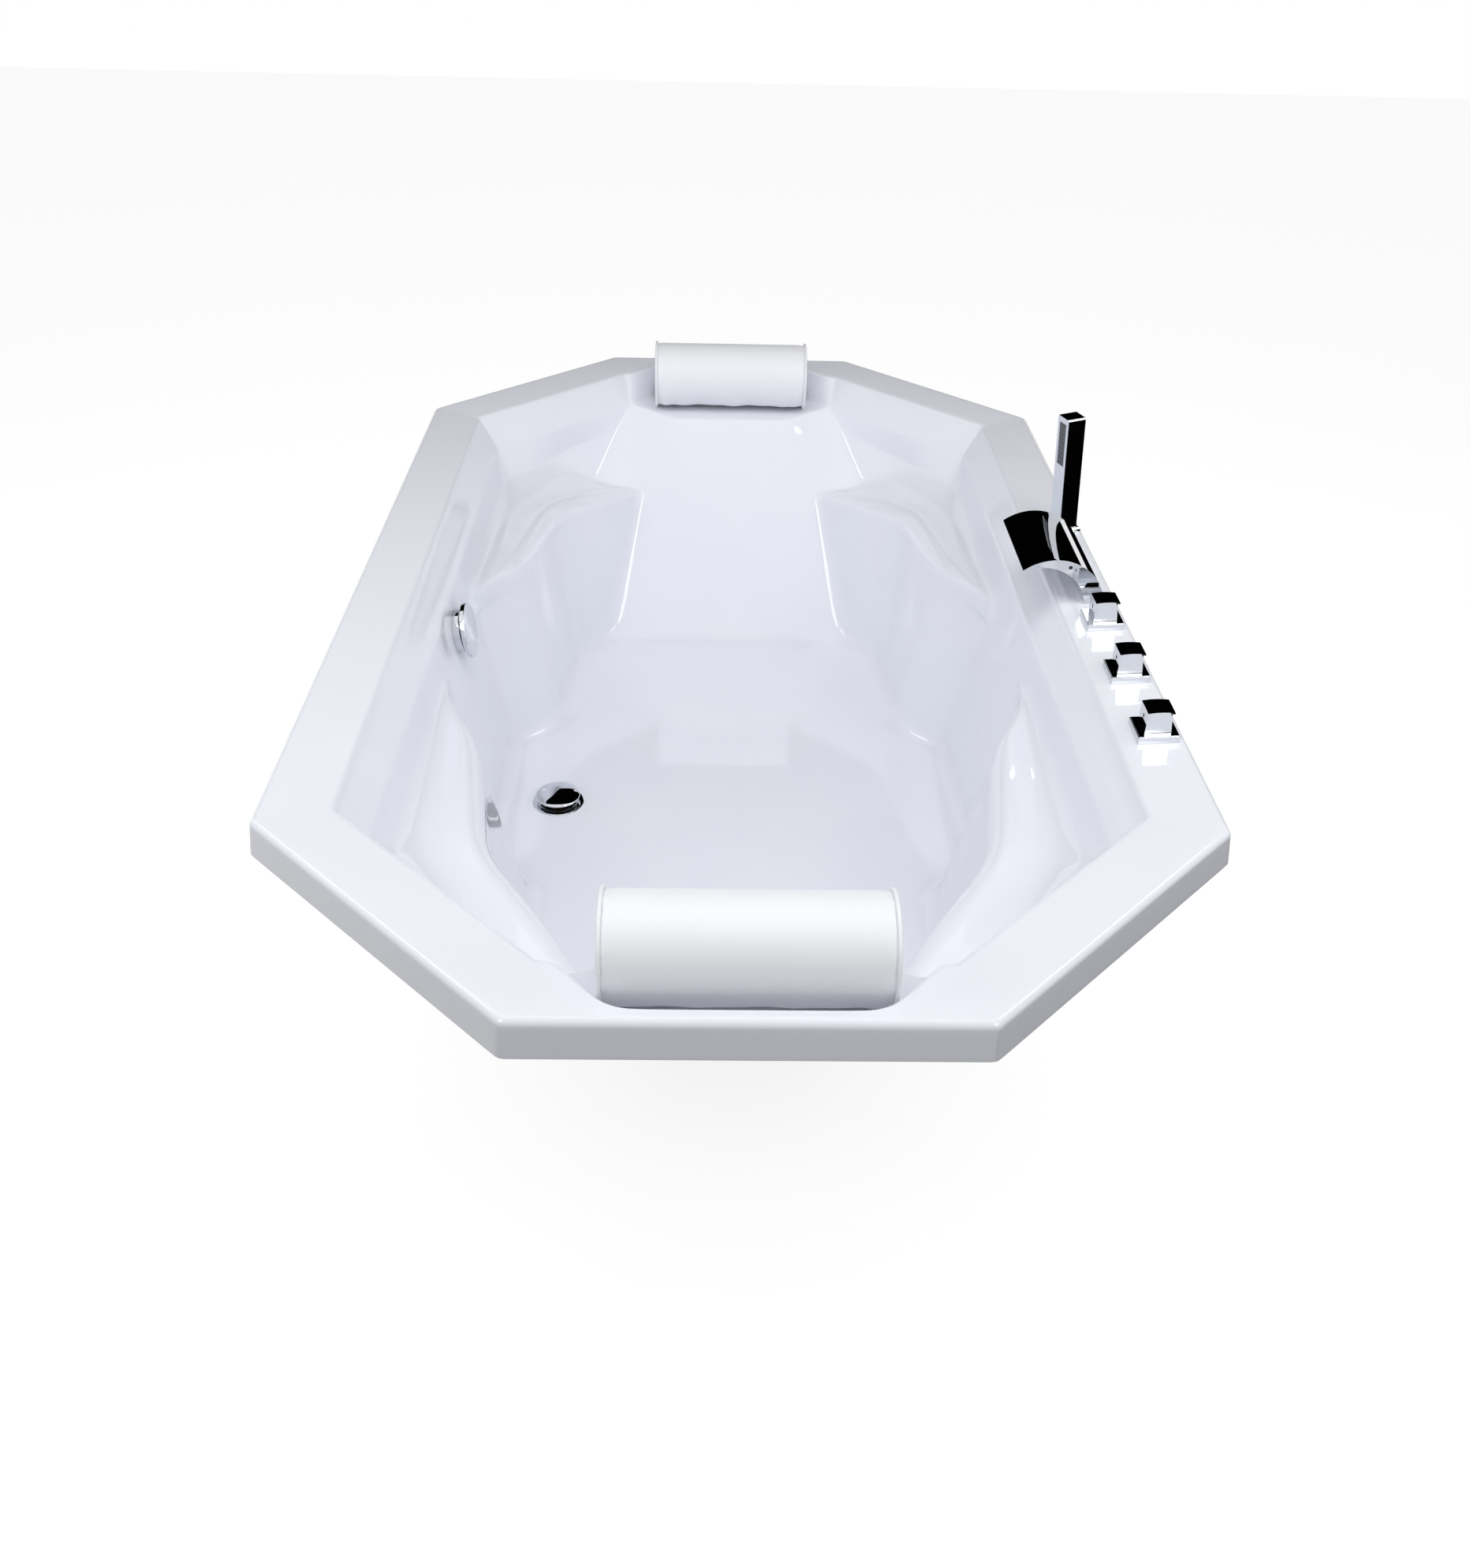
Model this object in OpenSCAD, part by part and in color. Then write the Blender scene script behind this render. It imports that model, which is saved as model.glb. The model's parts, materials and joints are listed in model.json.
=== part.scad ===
// Drop-in bathtub for two: a moulded acrylic tub in a long octagon, with corner
// armrests, two bolster pillows, a pop-up waste worked by the overflow knob, and
// a deck-mounted filler with hand shower, arched spout and three square knobs.
// Millimetres. Origin on the floor under the middle of the rim, +Z up, +Y along
// the tub, +X towards the side that carries the taps.

/* [Rim] */
// Overall length of the rim, along Y
tub_l = 1830; // [1760:10:1960]
// Overall width of the rim, along X
tub_w = 1040; // [1000:10:1120]
// Height of the rim's outer edge above the floor
rim_h = 580; // [560:5:660]
// Length that each corner cut takes off a side
corner_cut = 297; // [270:1:315]
// Width of the flat deck on the sides
deck_w = 84; // [80:1:92]
// Width of the flat deck at the two ends
end_deck_w = 92; // [88:1:104]
// Fall of the deck towards the basin, degrees
deck_fall = 4; // [2:0.5:5]
// Height of the apron under the rim's outer edge
apron_h = 42; // [36:1:60]
// How far the apron flares out at its foot
apron_flare = 4; // [1:1:8]
// Radius of the rim's outer edge
lip_r = 9; // [6:0.5:12]
// Radius of the rim's inner edge
edge_r = 9; // [6:0.5:12]
// Thickness of the moulded skin
skin = 6; // [5:0.5:7]

/* [Basin] */
// Depth of the basin floor below the rim
basin_depth = 405; // [385:1:420]
// Depth of the crease that ends the upper band
band_depth = 57; // [50:1:62]
// How far the band leans in from deck to crease
band_in = 28; // [20:1:32]
// How far the plain side walls lean in from crease to floor
wall_lean = 50; // [40:1:60]
// Radius-like height of the bend between walls and floor
floor_bend = 27; // [20:1:34]
// Distance of the back rest's top edge from the rim's end
back_top = 168; // [160:1:178]
// Distance of the back rest's foot from the rim's end
back_foot = 365; // [340:1:390]

/* [Armrests] */
// Half length of the plain wall between the armrests
arm_tip_y = 150; // [130:1:170]
// Distance of the armrests' fronts from the middle
arm_front_y = 245; // [225:1:265]
// Distance of the armrests' wide corners from the rim's end
arm_corner = 437; // [420:1:455]
// Width of an armrest at its front, from the crease
arm_front_w = 75; // [66:1:84]
// Width of an armrest at its corner, from the crease
arm_corner_w = 111; // [100:1:120]
// Half width of the back rest between the armrests
back_half_w = 167; // [150:1:180]
// Depth of the armrests' crest below the rim
crest_depth = 117; // [110:1:124]
// Width of the rounded roll along an armrest
roll_w = 27; // [20:1:32]
// Height of that roll
roll_h = 43; // [34:1:50]

/* [Pillows] */
// Half width of a pillow's niche at its back corners
niche_half_w = 128; // [120:1:132]
// Width of the curved shoulder beside a niche
niche_shoulder = 54; // [48:1:58]
// How far a niche cuts back into the end deck
niche_out = 64; // [54:1:66]
// Radius of a bolster pillow
pillow_r = 57; // [50:0.5:58]
// Length of a bolster pillow
pillow_len = 284; // [260:2:292]
// Radius of the piping round its ends
piping_r = 3; // [2:0.5:4]

/* [Taps] */
// Distance of the taps' line from the rim's long side
tap_inset = 35; // [33:0.5:38]
// Place of the three knobs along the deck
knob_y = [-145, -282, -420];
// Side of a knob's square base plate
base_side = 48; // [44:1:52]
// Thickness of a base plate
base_t = 9; // [7:0.5:11]
// Side of a knob's square handle at its foot
knob_side = 31; // [28:0.5:34]
// Height of a handle
knob_h = 27; // [24:0.5:32]
// Radius of a valve's threaded neck
valve_r = 13; // [11:0.5:14]
// Radius of a valve's spindle
spindle_r = 5.95; // [5:0.05:6.5]
// Place of the spout's middle along the deck
spout_y = -10; // [-20:1:0]
// Width of the spout along the deck
spout_w = 164; // [140:2:180]
// Outer radius of the spout's arch
spout_r = 71.5; // [66:0.5:76]
// Place of the hand shower along the deck
shower_y = 152; // [150:1:180]
// Height of the hand shower above its holder
shower_h = 168; // [150:2:200]
// Width of the hand shower's two faces
shower_side = [28, 30];
// Turn of the hand shower about its own axis, degrees
shower_turn = 17; // [0:1:30]

/* [Waste and overflow] */
// Distance of the waste's middle from the foot of the plain wall
waste_inset = 90; // [78:1:108]
// Radius of the waste's flange
flange_r = 40; // [36:0.5:44]
// Radius of the plug's cover
plug_r = 34; // [30:0.5:35]
// Travel of the plug from open to closed
plug_lift = 8; // [6:0.5:10]
// Depth of the overflow below the rim
overflow_depth = 108; // [104:1:112]
// Radius of the overflow's turning disc
overflow_r = 40; // [34:0.5:42]
// Distance of the disc's face from the wall
overflow_stand = 21; // [18:0.5:26]
// Outer radius of the drain pipes
pipe_r = 20; // [18:0.5:22]
// Outer radius of the overflow pipe
over_pipe_r = 16; // [14:0.5:18]

/* [Legs] */
// Thickness of the board bonded under the basin
board_t = 18; // [15:1:22]
// Distance of the outer leg beams from the middle
beam_y_out = 350; // [330:5:370]
// Distance of the inner leg beams from the middle
beam_y_in = 150; // [140:5:170]
// Length of a leg beam
beam_l = 450; // [420:5:460]
// Height of a leg beam
beam_h = 25; // [20:1:30]
// Width of a leg beam
beam_w = 30; // [26:1:34]
// Radius of a foot's threaded rod
rod_r = 6; // [5:0.5:7]
// Radius of a foot's pad
pad_r = 25; // [20:1:30]

/* [Hidden] */
$fn = 64;
eps = 0.01;
// Radial gap of a turning or sliding fit
run_gap = 0.05;
// Radial gap of a threaded or clamped fit
thread_gap = 0.1;
// Radial gap of a piece that drops through a drilled hole
hole_gap = 0.8;
// Gap under a soft piece
soft_gap = 0.4;

hw = tub_w / 2;
hl = tub_l / 2;
// Outline of the crease where the band ends
crease_w = hw - deck_w - band_in;
crease_l = hl - end_deck_w - band_in - 5;
// Side faces of the armrests at their top
arm_x2 = crease_w - arm_front_w;
arm_x3 = crease_w - arm_corner_w;
arm_y3 = hl - arm_corner;
back_y0 = hl - back_top;
back_y1 = hl - back_foot;
bend_z = -(basin_depth - floor_bend);
niche_x0 = niche_half_w;
niche_x1 = niche_half_w + niche_shoulder;
// Depth of the back rest's boundary on an armrest's face
back_arm_depth = crest_depth + roll_h + 21;

// Half width of the plain wall at a depth below the rim
function wall_x(z) = crease_w - wall_lean * (-z - band_depth) / (basin_depth - floor_bend - band_depth);
// Distance of the back rest from the middle at a depth below the rim
function back_y(z) = back_y0 - (back_y0 - back_y1) * (-z - band_depth) / (basin_depth - floor_bend - band_depth);
// Height of the sloping deck at a distance in from the rim's edge
function deck_z(d) = -(d - lip_r) * tan(deck_fall);

// A ring of the skin is drawn by nine stations of one quarter, from the middle of
// a long side, past the armrest's tip and front, the cut corner and the niche, to
// the middle of an end. ds and de are its insets at the sides and at the ends.
function octagon(ds, de, z, out = 0) =
    let (w = hw - ds, l = hl - de, s = hw + hl - corner_cut - ds * sqrt(2))
    [[w, 0, z], [w, arm_tip_y, z], [w, arm_front_y, z], [w, s - w, z], [(w + s - l) / 2, (s - w + l) / 2, z],
     [s - l, l, z], [niche_x1, l, z], [niche_x0, l + out, z], [0, l + out, z]];

function lip(a) = octagon(lip_r * (1 - cos(a)), lip_r * (1 - cos(a)), -lip_r * (1 - sin(a)));
function edge(a) = let (d = edge_r * sin(a))
    octagon(deck_w - edge_r + d, end_deck_w - edge_r + d, deck_z(deck_w - edge_r) - edge_r * (1 - cos(a)), niche_out);

deck_foot = octagon(deck_w + band_in * 0.85, end_deck_w + band_in * 0.95, -band_depth + 7, 0);
niche_z = -band_depth - 3;
niche_back = [for (i = [0:8]) let (p = deck_foot[i])
    i < 7 ? p : [p[0] - 4, hl - end_deck_w + niche_out - 5, niche_z]];
crease = let (o = octagon(hw - crease_w, hl - crease_l, -band_depth))
    [o[0], o[1], o[2], o[3], o[4], o[5], [niche_x1 - 22, crease_l - 2, -band_depth],
     [niche_x0 - 18, back_y0 + 5, niche_z - 2], [0, back_y0 + 5, niche_z - 2]];
// Foot of the wall behind the armrests' tops, which ends low on the back rest
arm_back = back_half_w + 83;
function on_back(x, z) = [x, back_y(z), z];
valley = let (z0 = -crest_depth + 9, z2 = -crest_depth - 9)
    [[wall_x(z0), 0, z0], [wall_x(z0), arm_tip_y - 30, z0], [wall_x(z2) - 4, arm_front_y - 5, z2],
     [arm_x3 + 80, arm_y3 + 14, z2 - 6], [arm_x3 + 12, arm_y3 + 165, -crest_depth - 8],
     on_back(arm_back, -crest_depth - roll_h - 3), on_back(back_half_w - 20, -crest_depth + 5),
     on_back(niche_x0 - 22, -crest_depth + 12), on_back(0, -crest_depth + 12)];
// Top of the back rest, and the middle of the wall behind the armrests
brow = let (m = [for (i = [0:8]) [(crease[i][0] + valley[i][0]) / 2, (crease[i][1] + valley[i][1]) / 2,
        (crease[i][2] + valley[i][2]) / 2]])
    [m[0], m[1], m[2] + [1, 2, -5], m[3] + [3, 8, -9], m[4] + [4, 10, -10],
     [crease[5][0] + 2, back_y(niche_z - 6) + 4, niche_z - 4], [crease[6][0], back_y(niche_z - 6) + 4, niche_z - 4],
     [niche_x0 - 19, back_y(niche_z - 6) + 1, niche_z - 5], [0, back_y(niche_z - 6) + 1, niche_z - 5]];
crest = let (z0 = -crest_depth - 5)
    [[wall_x(z0), 0, z0], [wall_x(z0), arm_tip_y - 5, z0], [arm_x2 + roll_w, arm_front_y - 8, -crest_depth],
     [arm_x3 + roll_w, arm_y3 + 14, -crest_depth - 4], [arm_x3 - 38, arm_y3 + 124, -crest_depth - 23],
     on_back(back_half_w + 38, -crest_depth - roll_h - 9), on_back(back_half_w - 28, -crest_depth - 25),
     on_back(niche_x0 * 0.75, -crest_depth - 20), on_back(0, -crest_depth - 20)];
face_top = let (z0 = -crest_depth - roll_h, z5 = -back_arm_depth)
    [[wall_x(z0), 0, z0], [wall_x(z0), arm_tip_y + 15, z0], [arm_x2, arm_front_y + 10, z0],
     [arm_x3, arm_y3, z0 - 2], [arm_x3 - 67, arm_y3 + 94, z0 - 5],
     [back_half_w, back_y(z5), z5], [back_half_w * 0.8, back_y(z5), z5],
     [niche_x0 * 0.6, back_y(z5), z5], [0, back_y(z5), z5]];
bend_top = [[wall_x(bend_z), 0, bend_z], [wall_x(bend_z), arm_tip_y + 10, bend_z],
    [arm_x2 - 43, arm_front_y - 13, bend_z], [arm_x3 - 24, arm_y3 - 28, bend_z],
    [arm_x3 - 54, arm_y3 + 27, bend_z], [back_half_w + 45, back_y1, bend_z], [back_half_w - 10, back_y1, bend_z],
    [niche_x0 * 0.65, back_y1, bend_z], [0, back_y1, bend_z]];

// Unit steps out of the basin in plan, one for each station
out_dir = [[1, 0], [1, 0], [1, 0], [cos(22.5), sin(22.5)], [cos(45), sin(45)], [cos(67.5), sin(67.5)],
    [0, 1], [0, 1], [0, 1]];
function moved(ring, d, dz) = [for (i = [0:8])
    [ring[i][0] + d * out_dir[i][0], ring[i][1] + d * out_dir[i][1], ring[i][2] + dz]];
function between(a, b, t, u) = [for (i = [0:8])
    [a[i][0] + (b[i][0] - a[i][0]) * t, a[i][1] + (b[i][1] - a[i][1]) * t, a[i][2] + (b[i][2] - a[i][2]) * u]];
waste_x = waste_inset - wall_x(bend_z);
floor_ring = moved([for (p = bend_top) [p[0], p[1], -basin_depth]], -floor_bend * 0.85, 0);
// The plain wall's two stations stay one flat sheet, so what is clamped on it seats
function wall_first(a, b) = [for (i = [0:8]) i < 2 ? a[i] : b[i]];
function roll(a) = let (s = sin(a), c = 1 - cos(a), flat = between(crest, face_top, c, c),
    round = between(crest, face_top, s, c))
    [for (i = [0:8]) i < 2 ? flat[i] : i < 5 ? round[i] : [round[i][0], flat[i][1], flat[i][2]]];
function bend(a) = between(bend_top, floor_ring, 1 - cos(a), sin(a));

top_rings = concat([floor_ring, bend(60), bend(30), bend_top, face_top, roll(60), roll(30), crest, valley, brow, crease,
    niche_back], [for (a = [90:-30:0]) edge(a)], [for (a = [90:-30:0]) lip(a)],
    [octagon(-apron_flare, -apron_flare, -apron_h)]);
function under(ring, d, dz) = wall_first(moved(ring, skin, -skin), moved(ring, d, dz));
under_rings = [octagon(skin - apron_flare, skin - apron_flare, -apron_h),
    octagon(skin, skin, -lip_r - 1),
    octagon(lip_r, lip_r, -skin),
    octagon(deck_w - skin, end_deck_w - skin, deck_z(deck_w - skin) - skin, niche_out),
    moved(niche_back, skin, -skin), moved(crease, skin, -skin),
    moved(brow, skin, -skin), moved(valley, skin, -skin),
    under(crest, skin / 2, -skin), under(face_top, skin, -skin / 2), under(bend_top, skin, -skin / 2),
    moved(bend(45), skin * 0.7, -skin * 0.7), moved(floor_ring, skin / 2, -skin)];

// Steps between one station and the next
seg_n = [2, 3, 4, 3, 3, 2, 5, 2];
function ease(t) = t * t * (3 - 2 * t);
function seg(a, b, t, k) = [a[0] + (b[0] - a[0]) * t, a[1] + (b[1] - a[1]) * (k == 6 ? ease(t) : t),
    a[2] + (b[2] - a[2]) * (k == 6 ? ease(t) : t)];
function quarter(r) = concat([for (k = [0:7], i = [0:seg_n[k] - 1]) seg(r[k], r[k + 1], i / seg_n[k], k)], [r[8]]);
function whole(r) = let (q = quarter(r), n = len(q) - 1)
    concat([for (i = [0:n - 1]) q[i]], [for (i = [n:-1:1]) [-q[i][0], q[i][1], q[i][2]]],
        [for (i = [0:n - 1]) [-q[i][0], -q[i][1], q[i][2]]], [for (i = [n:-1:1]) [q[i][0], -q[i][1], q[i][2]]]);

// Closed skin swept through the rings, with a flat cap at its first and last one
module lofted(rings) {
    loops = [for (r = rings) whole(r)];
    n = len(loops[0]);
    m = len(loops);
    hubs = [[0, 0, rings[0][0][2]], [0, 0, rings[m - 1][0][2]]];
    polyhedron(points = concat([for (l = loops, p = l) p], hubs), faces = concat(
        [for (i = [0:n - 1]) [m * n, i, (i + 1) % n]],
        [for (j = [0:m - 2], i = [0:n - 1]) let (k = (i + 1) % n)
            [j * n + i, (j + 1) * n + i, floor(4 * i / n) % 2 == 0 ? j * n + k : (j + 1) * n + k]],
        [for (j = [0:m - 2], i = [0:n - 1]) let (k = (i + 1) % n)
            [j * n + k, floor(4 * i / n) % 2 == 0 ? (j + 1) * n + i : j * n + i, (j + 1) * n + k]],
        [for (i = [0:n - 1]) [m * n + 1, (m - 1) * n + (i + 1) % n, (m - 1) * n + i]]));
}

// Frame of a tap on the sloping deck, with its z square to the deck
tap_x = hw - tap_inset;
module on_deck(y, dx = 0) {
    translate([tap_x + dx, y, rim_h + deck_z(tap_inset - dx)]) rotate([0, -deck_fall, 0]) children();
}
// Frame of the overflow on the plain wall, with its z out of the wall
wall_tilt = atan(wall_lean / (basin_depth - floor_bend - band_depth));
module on_wall() {
    translate([-wall_x(-overflow_depth), 0, rim_h - overflow_depth]) rotate([0, 90 - wall_tilt, 0]) children();
}
floor_z = rim_h - basin_depth;
module at_waste() {
    translate([waste_x, 0, floor_z]) children();
}
module tube(r1, r0, h, z = 0) {
    translate([0, 0, z]) difference() {
        cylinder(r = r1, h = h);
        translate([0, 0, -1]) cylinder(r = r0, h = h + 2);
    }
}
module ring_nut(r0, r1, h, z) {
    translate([0, 0, z]) difference() {
        linear_extrude(h) circle(r = r1, $fn = 6);
        translate([0, 0, -1]) cylinder(r = r0, h = h + 2);
    }
}

waste_neck_r = 25;
throat_r = 21;
shower_neck_r = 11;
sleeve_r = 13.5;
shank_r = 10;
over_neck_r = 22;
over_screw_y = 27;
over_screw_r = 2;
over_head_r = 3.1;
shower_dx = 7;
washer_t = 2;

module tub_shell() {
    color("white") difference() {
        translate([0, 0, rim_h]) lofted(concat(top_rings, under_rings));
        at_waste() translate([0, 0, -skin * 3]) cylinder(r = waste_neck_r + hole_gap, h = skin * 5);
        on_wall() translate([0, 0, -skin * 3]) cylinder(r = over_neck_r + hole_gap, h = skin * 5);
        for (s = [-1, 1]) on_wall() translate([0, s * over_screw_y, -skin * 3])
            cylinder(r = over_screw_r + hole_gap / 2, h = skin * 5);
        for (y = knob_y) on_deck(y) translate([0, 0, -skin * 3]) cylinder(r = valve_r + hole_gap, h = skin * 5);
        on_deck(spout_y) translate([0, 0, -skin * 3]) cylinder(r = shank_r + hole_gap, h = skin * 5);
        on_deck(shower_y, shower_dx) translate([0, 0, -skin * 3]) cylinder(r = sleeve_r + hole_gap, h = skin * 5);
    }
}

// Board under the floor: it stays inside the flat of the floor
board_in = 22;
board_z = floor_z - skin - board_t;
module board_outline() {
    q = [for (i = [1, 2, 3, 4, 5]) [floor_ring[i][0] - board_in, floor_ring[i][1] - board_in * 0.6]];
    n = len(q) - 1;
    polygon(concat(q, [for (i = [n:-1:0]) [-q[i][0], q[i][1]]], [for (p = q) [-p[0], -p[1]]],
        [for (i = [n:-1:0]) [q[i][0], -q[i][1]]]));
}
beam_ys = [-beam_y_out, -beam_y_in, beam_y_in, beam_y_out];
beam_z = board_z - beam_h;
beam_wall = 2.5;
foot_x = beam_l / 2 - 25;
screw_x = beam_l / 2 - 70;
screw_r = 2.4;
module each_foot() {
    for (y = beam_ys, s = [-1, 1]) translate([s * foot_x, y, 0]) children();
}
module floor_board() {
    color("burlywood") difference() {
        translate([0, 0, board_z]) linear_extrude(board_t) board_outline();
        translate([waste_x, 0, board_z - 1]) cylinder(r = flange_r + 18, h = board_t + 2);
        for (y = beam_ys, s = [-1, 1]) translate([s * screw_x, y, board_z - 1]) cylinder(r = screw_r + thread_gap, h = 15);
    }
}
module leg_beams() {
    color("silver") difference() {
        for (y = beam_ys) translate([-beam_l / 2, y - beam_w / 2, beam_z]) difference() {
            cube([beam_l, beam_w, beam_h]);
            translate([-1, beam_wall, beam_wall]) cube([beam_l + 2, beam_w - 2 * beam_wall, beam_h - 2 * beam_wall]);
        }
        each_foot() translate([0, 0, beam_z - 1]) cylinder(r = rod_r + thread_gap, h = beam_h - beam_wall);
        for (y = beam_ys, s = [-1, 1]) translate([s * screw_x, y, beam_z + beam_h / 2])
            cylinder(r = screw_r + thread_gap, h = beam_h);
    }
}
module beam_screws() {
    color("gray") for (y = beam_ys, s = [-1, 1]) translate([s * screw_x, y, beam_z + beam_h - beam_wall]) {
        translate([0, 0, -3]) cylinder(r = 5, h = 3);
        cylinder(r = screw_r, h = beam_wall + 12);
    }
}
pad_h = 14;
module foot_rods() {
    color("gray") each_foot() translate([0, 0, 6]) cylinder(r = rod_r, h = beam_z + beam_h - beam_wall - 1 - 6);
}
module foot_nuts() {
    color("gray") each_foot() ring_nut(rod_r + thread_gap, rod_r * 1.75, rod_r * 1.6, beam_z - rod_r * 1.6);
}
module foot_pads() {
    color("dimgray") each_foot() difference() {
        rotate_extrude() polygon([[0, 0], [pad_r, 0], [pad_r, 4], [pad_r * 0.55, 9], [pad_r * 0.45, pad_h], [0, pad_h]]);
        translate([0, 0, 6 - eps]) cylinder(r = rod_r + thread_gap, h = pad_h);
    }
}

// Waste: flange from above, body from below, clamped on the tub's floor
flange_t = 2.5;
dish_r = plug_r - 4;
dish_z = 0.9;
stem_r = 4;
body_top = -skin - 3;
body_r = 36;
neck_l = 44;
guide_z = -26;
module waste_flange() {
    color("silver") at_waste() {
        rotate_extrude() polygon([[throat_r, -neck_l], [waste_neck_r, -neck_l], [waste_neck_r, 0], [flange_r, 0],
            [flange_r - 0.5, flange_t * 0.6], [flange_r - 3, flange_t], [dish_r + 1.5, flange_t], [dish_r, flange_t - 0.5],
            [dish_r - 1, dish_z], [waste_neck_r, dish_z], [throat_r + 1, -1], [throat_r, -3]]);
        difference() {
            union() {
                translate([0, 0, guide_z - 6]) cylinder(r = stem_r + 3, h = 12);
                translate([-throat_r - 1, -1.5, guide_z - 4]) cube([2 * throat_r + 2, 3, 8]);
            }
            translate([0, 0, guide_z - 10]) cylinder(r = stem_r + run_gap, h = 20);
        }
    }
}
module waste_gasket() {
    color("black") at_waste() tube(body_r, waste_neck_r + 1, 3, body_top);
}
body_h = 62;
outlet_z = body_top - body_h;
inlet_z = body_top - 34;
cavity_r = 31;
module waste_body() {
    color("white") at_waste() difference() {
        union() {
            translate([0, 0, outlet_z]) cylinder(r = body_r, h = body_h);
            translate([0, 0, outlet_z - 14]) cylinder(r = pipe_r + 3, h = 15);
            translate([-body_r - 16, 0, inlet_z]) rotate([0, 90, 0]) cylinder(r = over_pipe_r + 3, h = body_r);
        }
        translate([0, 0, body_top - neck_l]) cylinder(r = waste_neck_r + thread_gap, h = neck_l + 2);
        translate([0, 0, outlet_z + 4]) cylinder(r = cavity_r, h = 34);
        translate([0, 0, outlet_z - 20]) cylinder(r = pipe_r - 2, h = 40);
        translate([0, 0, outlet_z - 15]) cylinder(r = pipe_r + thread_gap, h = 11);
        translate([-body_r - 17, 0, inlet_z]) rotate([0, 90, 0]) cylinder(r = over_pipe_r - 2.5, h = body_r);
        translate([-body_r - 17, 0, inlet_z]) rotate([0, 90, 0]) cylinder(r = over_pipe_r + thread_gap, h = 15);
    }
}
module waste_nut() {
    color("white") at_waste() ring_nut(pipe_r + 3 + thread_gap, pipe_r + 11, 10, outlet_z - 12);
}

// Trap: down from the body, round a U bend, up and out level
trap_bend = 40;
trap_top = outlet_z - 5;
trap_leg = 6;
trap_out_r = 34;
module pipe_bend(r, bend_r, a) {
    rotate_extrude(angle = a) translate([bend_r, 0]) circle(r = r);
}
module trap_run(r, more = 0) {
    translate([0, 0, trap_top - trap_leg - 8]) cylinder(r = r, h = trap_leg + 8 + more);
    translate([0, trap_bend, trap_top - trap_leg - 8]) rotate([0, 90, 0]) rotate([0, 0, -90])
        pipe_bend(r, trap_bend, 180);
    translate([0, 2 * trap_bend, trap_top - trap_leg - 8]) cylinder(r = r, h = 6);
    translate([0, 2 * trap_bend + trap_out_r, trap_top - trap_leg - 2]) rotate([0, 90, 0]) rotate([0, 0, 180])
        pipe_bend(r, trap_out_r, 90);
    translate([0, 2 * trap_bend + trap_out_r, trap_top - trap_leg - 2 + trap_out_r]) rotate([-90, 0, 0])
        cylinder(r = r, h = 46 + more);
}
module trap_collar() {
    translate([0, 2 * trap_bend + trap_out_r, trap_top - trap_leg - 2 + trap_out_r]) rotate([-90, 0, 0])
        cylinder(r = pipe_r + 1, h = 14);
}
module trap() {
    color("white") at_waste() difference() {
        union() {
            trap_run(pipe_r);
            trap_collar();
        }
        trap_run(pipe_r - 2.5, 1);
    }
}
module trap_nut() {
    color("white") at_waste() translate([0, 2 * trap_bend + trap_out_r + 2, trap_top - trap_leg - 2 + trap_out_r])
        rotate([-90, 0, 0]) ring_nut(pipe_r + 1 + thread_gap, pipe_r + 9, 12, 0);
}

// Plug: drawn open, as it stands; it drops by plug_lift to close
seat_z = dish_z + 0.3;
seal_t = 2;
module plug_cover() {
    color("silver") at_waste() translate([0, 0, plug_lift + seat_z + seal_t]) rotate_extrude()
        polygon([[0, 0], [plug_r - 1, 0], [plug_r, 1], [plug_r, 2.2], [plug_r - 1, 3.2], [plug_r * 0.8, 5],
            [plug_r * 0.55, 6.4], [plug_r * 0.25, 7.2], [0, 7.4]]);
}
module plug_seal() {
    color("black") at_waste() tube(dish_r - 2, stem_r + 4, seal_t, plug_lift + seat_z);
}
module plug_stem() {
    color("goldenrod") at_waste() {
        translate([0, 0, plug_lift + seat_z]) cylinder(r = stem_r + 3.5, h = seal_t);
        translate([0, 0, guide_z - 12]) cylinder(r = stem_r, h = plug_lift + seat_z - guide_z + 12 + eps);
    }
}

// Overflow: drum on the wall, housing behind it, disc that turns
drum_r = 31.5;
drum_h = 11;
over_gap = skin * (cos(wall_tilt) + sin(wall_tilt));
over_body_r = 30;
over_spindle_r = 6;
module overflow_drum() {
    color("silver") on_wall() difference() {
        union() {
            rotate_extrude() polygon([[0, 0], [drum_r, 0], [drum_r, drum_h - 1], [drum_r - 1, drum_h], [0, drum_h]]);
            translate([0, 0, -over_gap - 14]) cylinder(r = over_neck_r, h = over_gap + 15);
        }
        translate([0, 0, -over_gap - 20]) cylinder(r = over_spindle_r + run_gap, h = 60);
        for (a = [60:60:300]) rotate([0, 0, a]) translate([14, 0, -over_gap - 16]) cylinder(r = 4, h = 50);
        for (s = [-1, 1]) translate([0, s * over_screw_y, -1]) {
            cylinder(r = over_screw_r + thread_gap, h = drum_h);
            translate([0, 0, drum_h - 2]) cylinder(r = over_head_r + thread_gap, h = 4);
        }
    }
}
module overflow_gasket() {
    color("black") on_wall() difference() {
        tube(over_body_r + 3, over_neck_r + 1, 3, -over_gap - 3);
        for (s = [-1, 1]) translate([0, s * over_screw_y, -over_gap - 5]) cylinder(r = over_screw_r + thread_gap, h = 8);
    }
}
over_body_d = 32;
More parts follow.
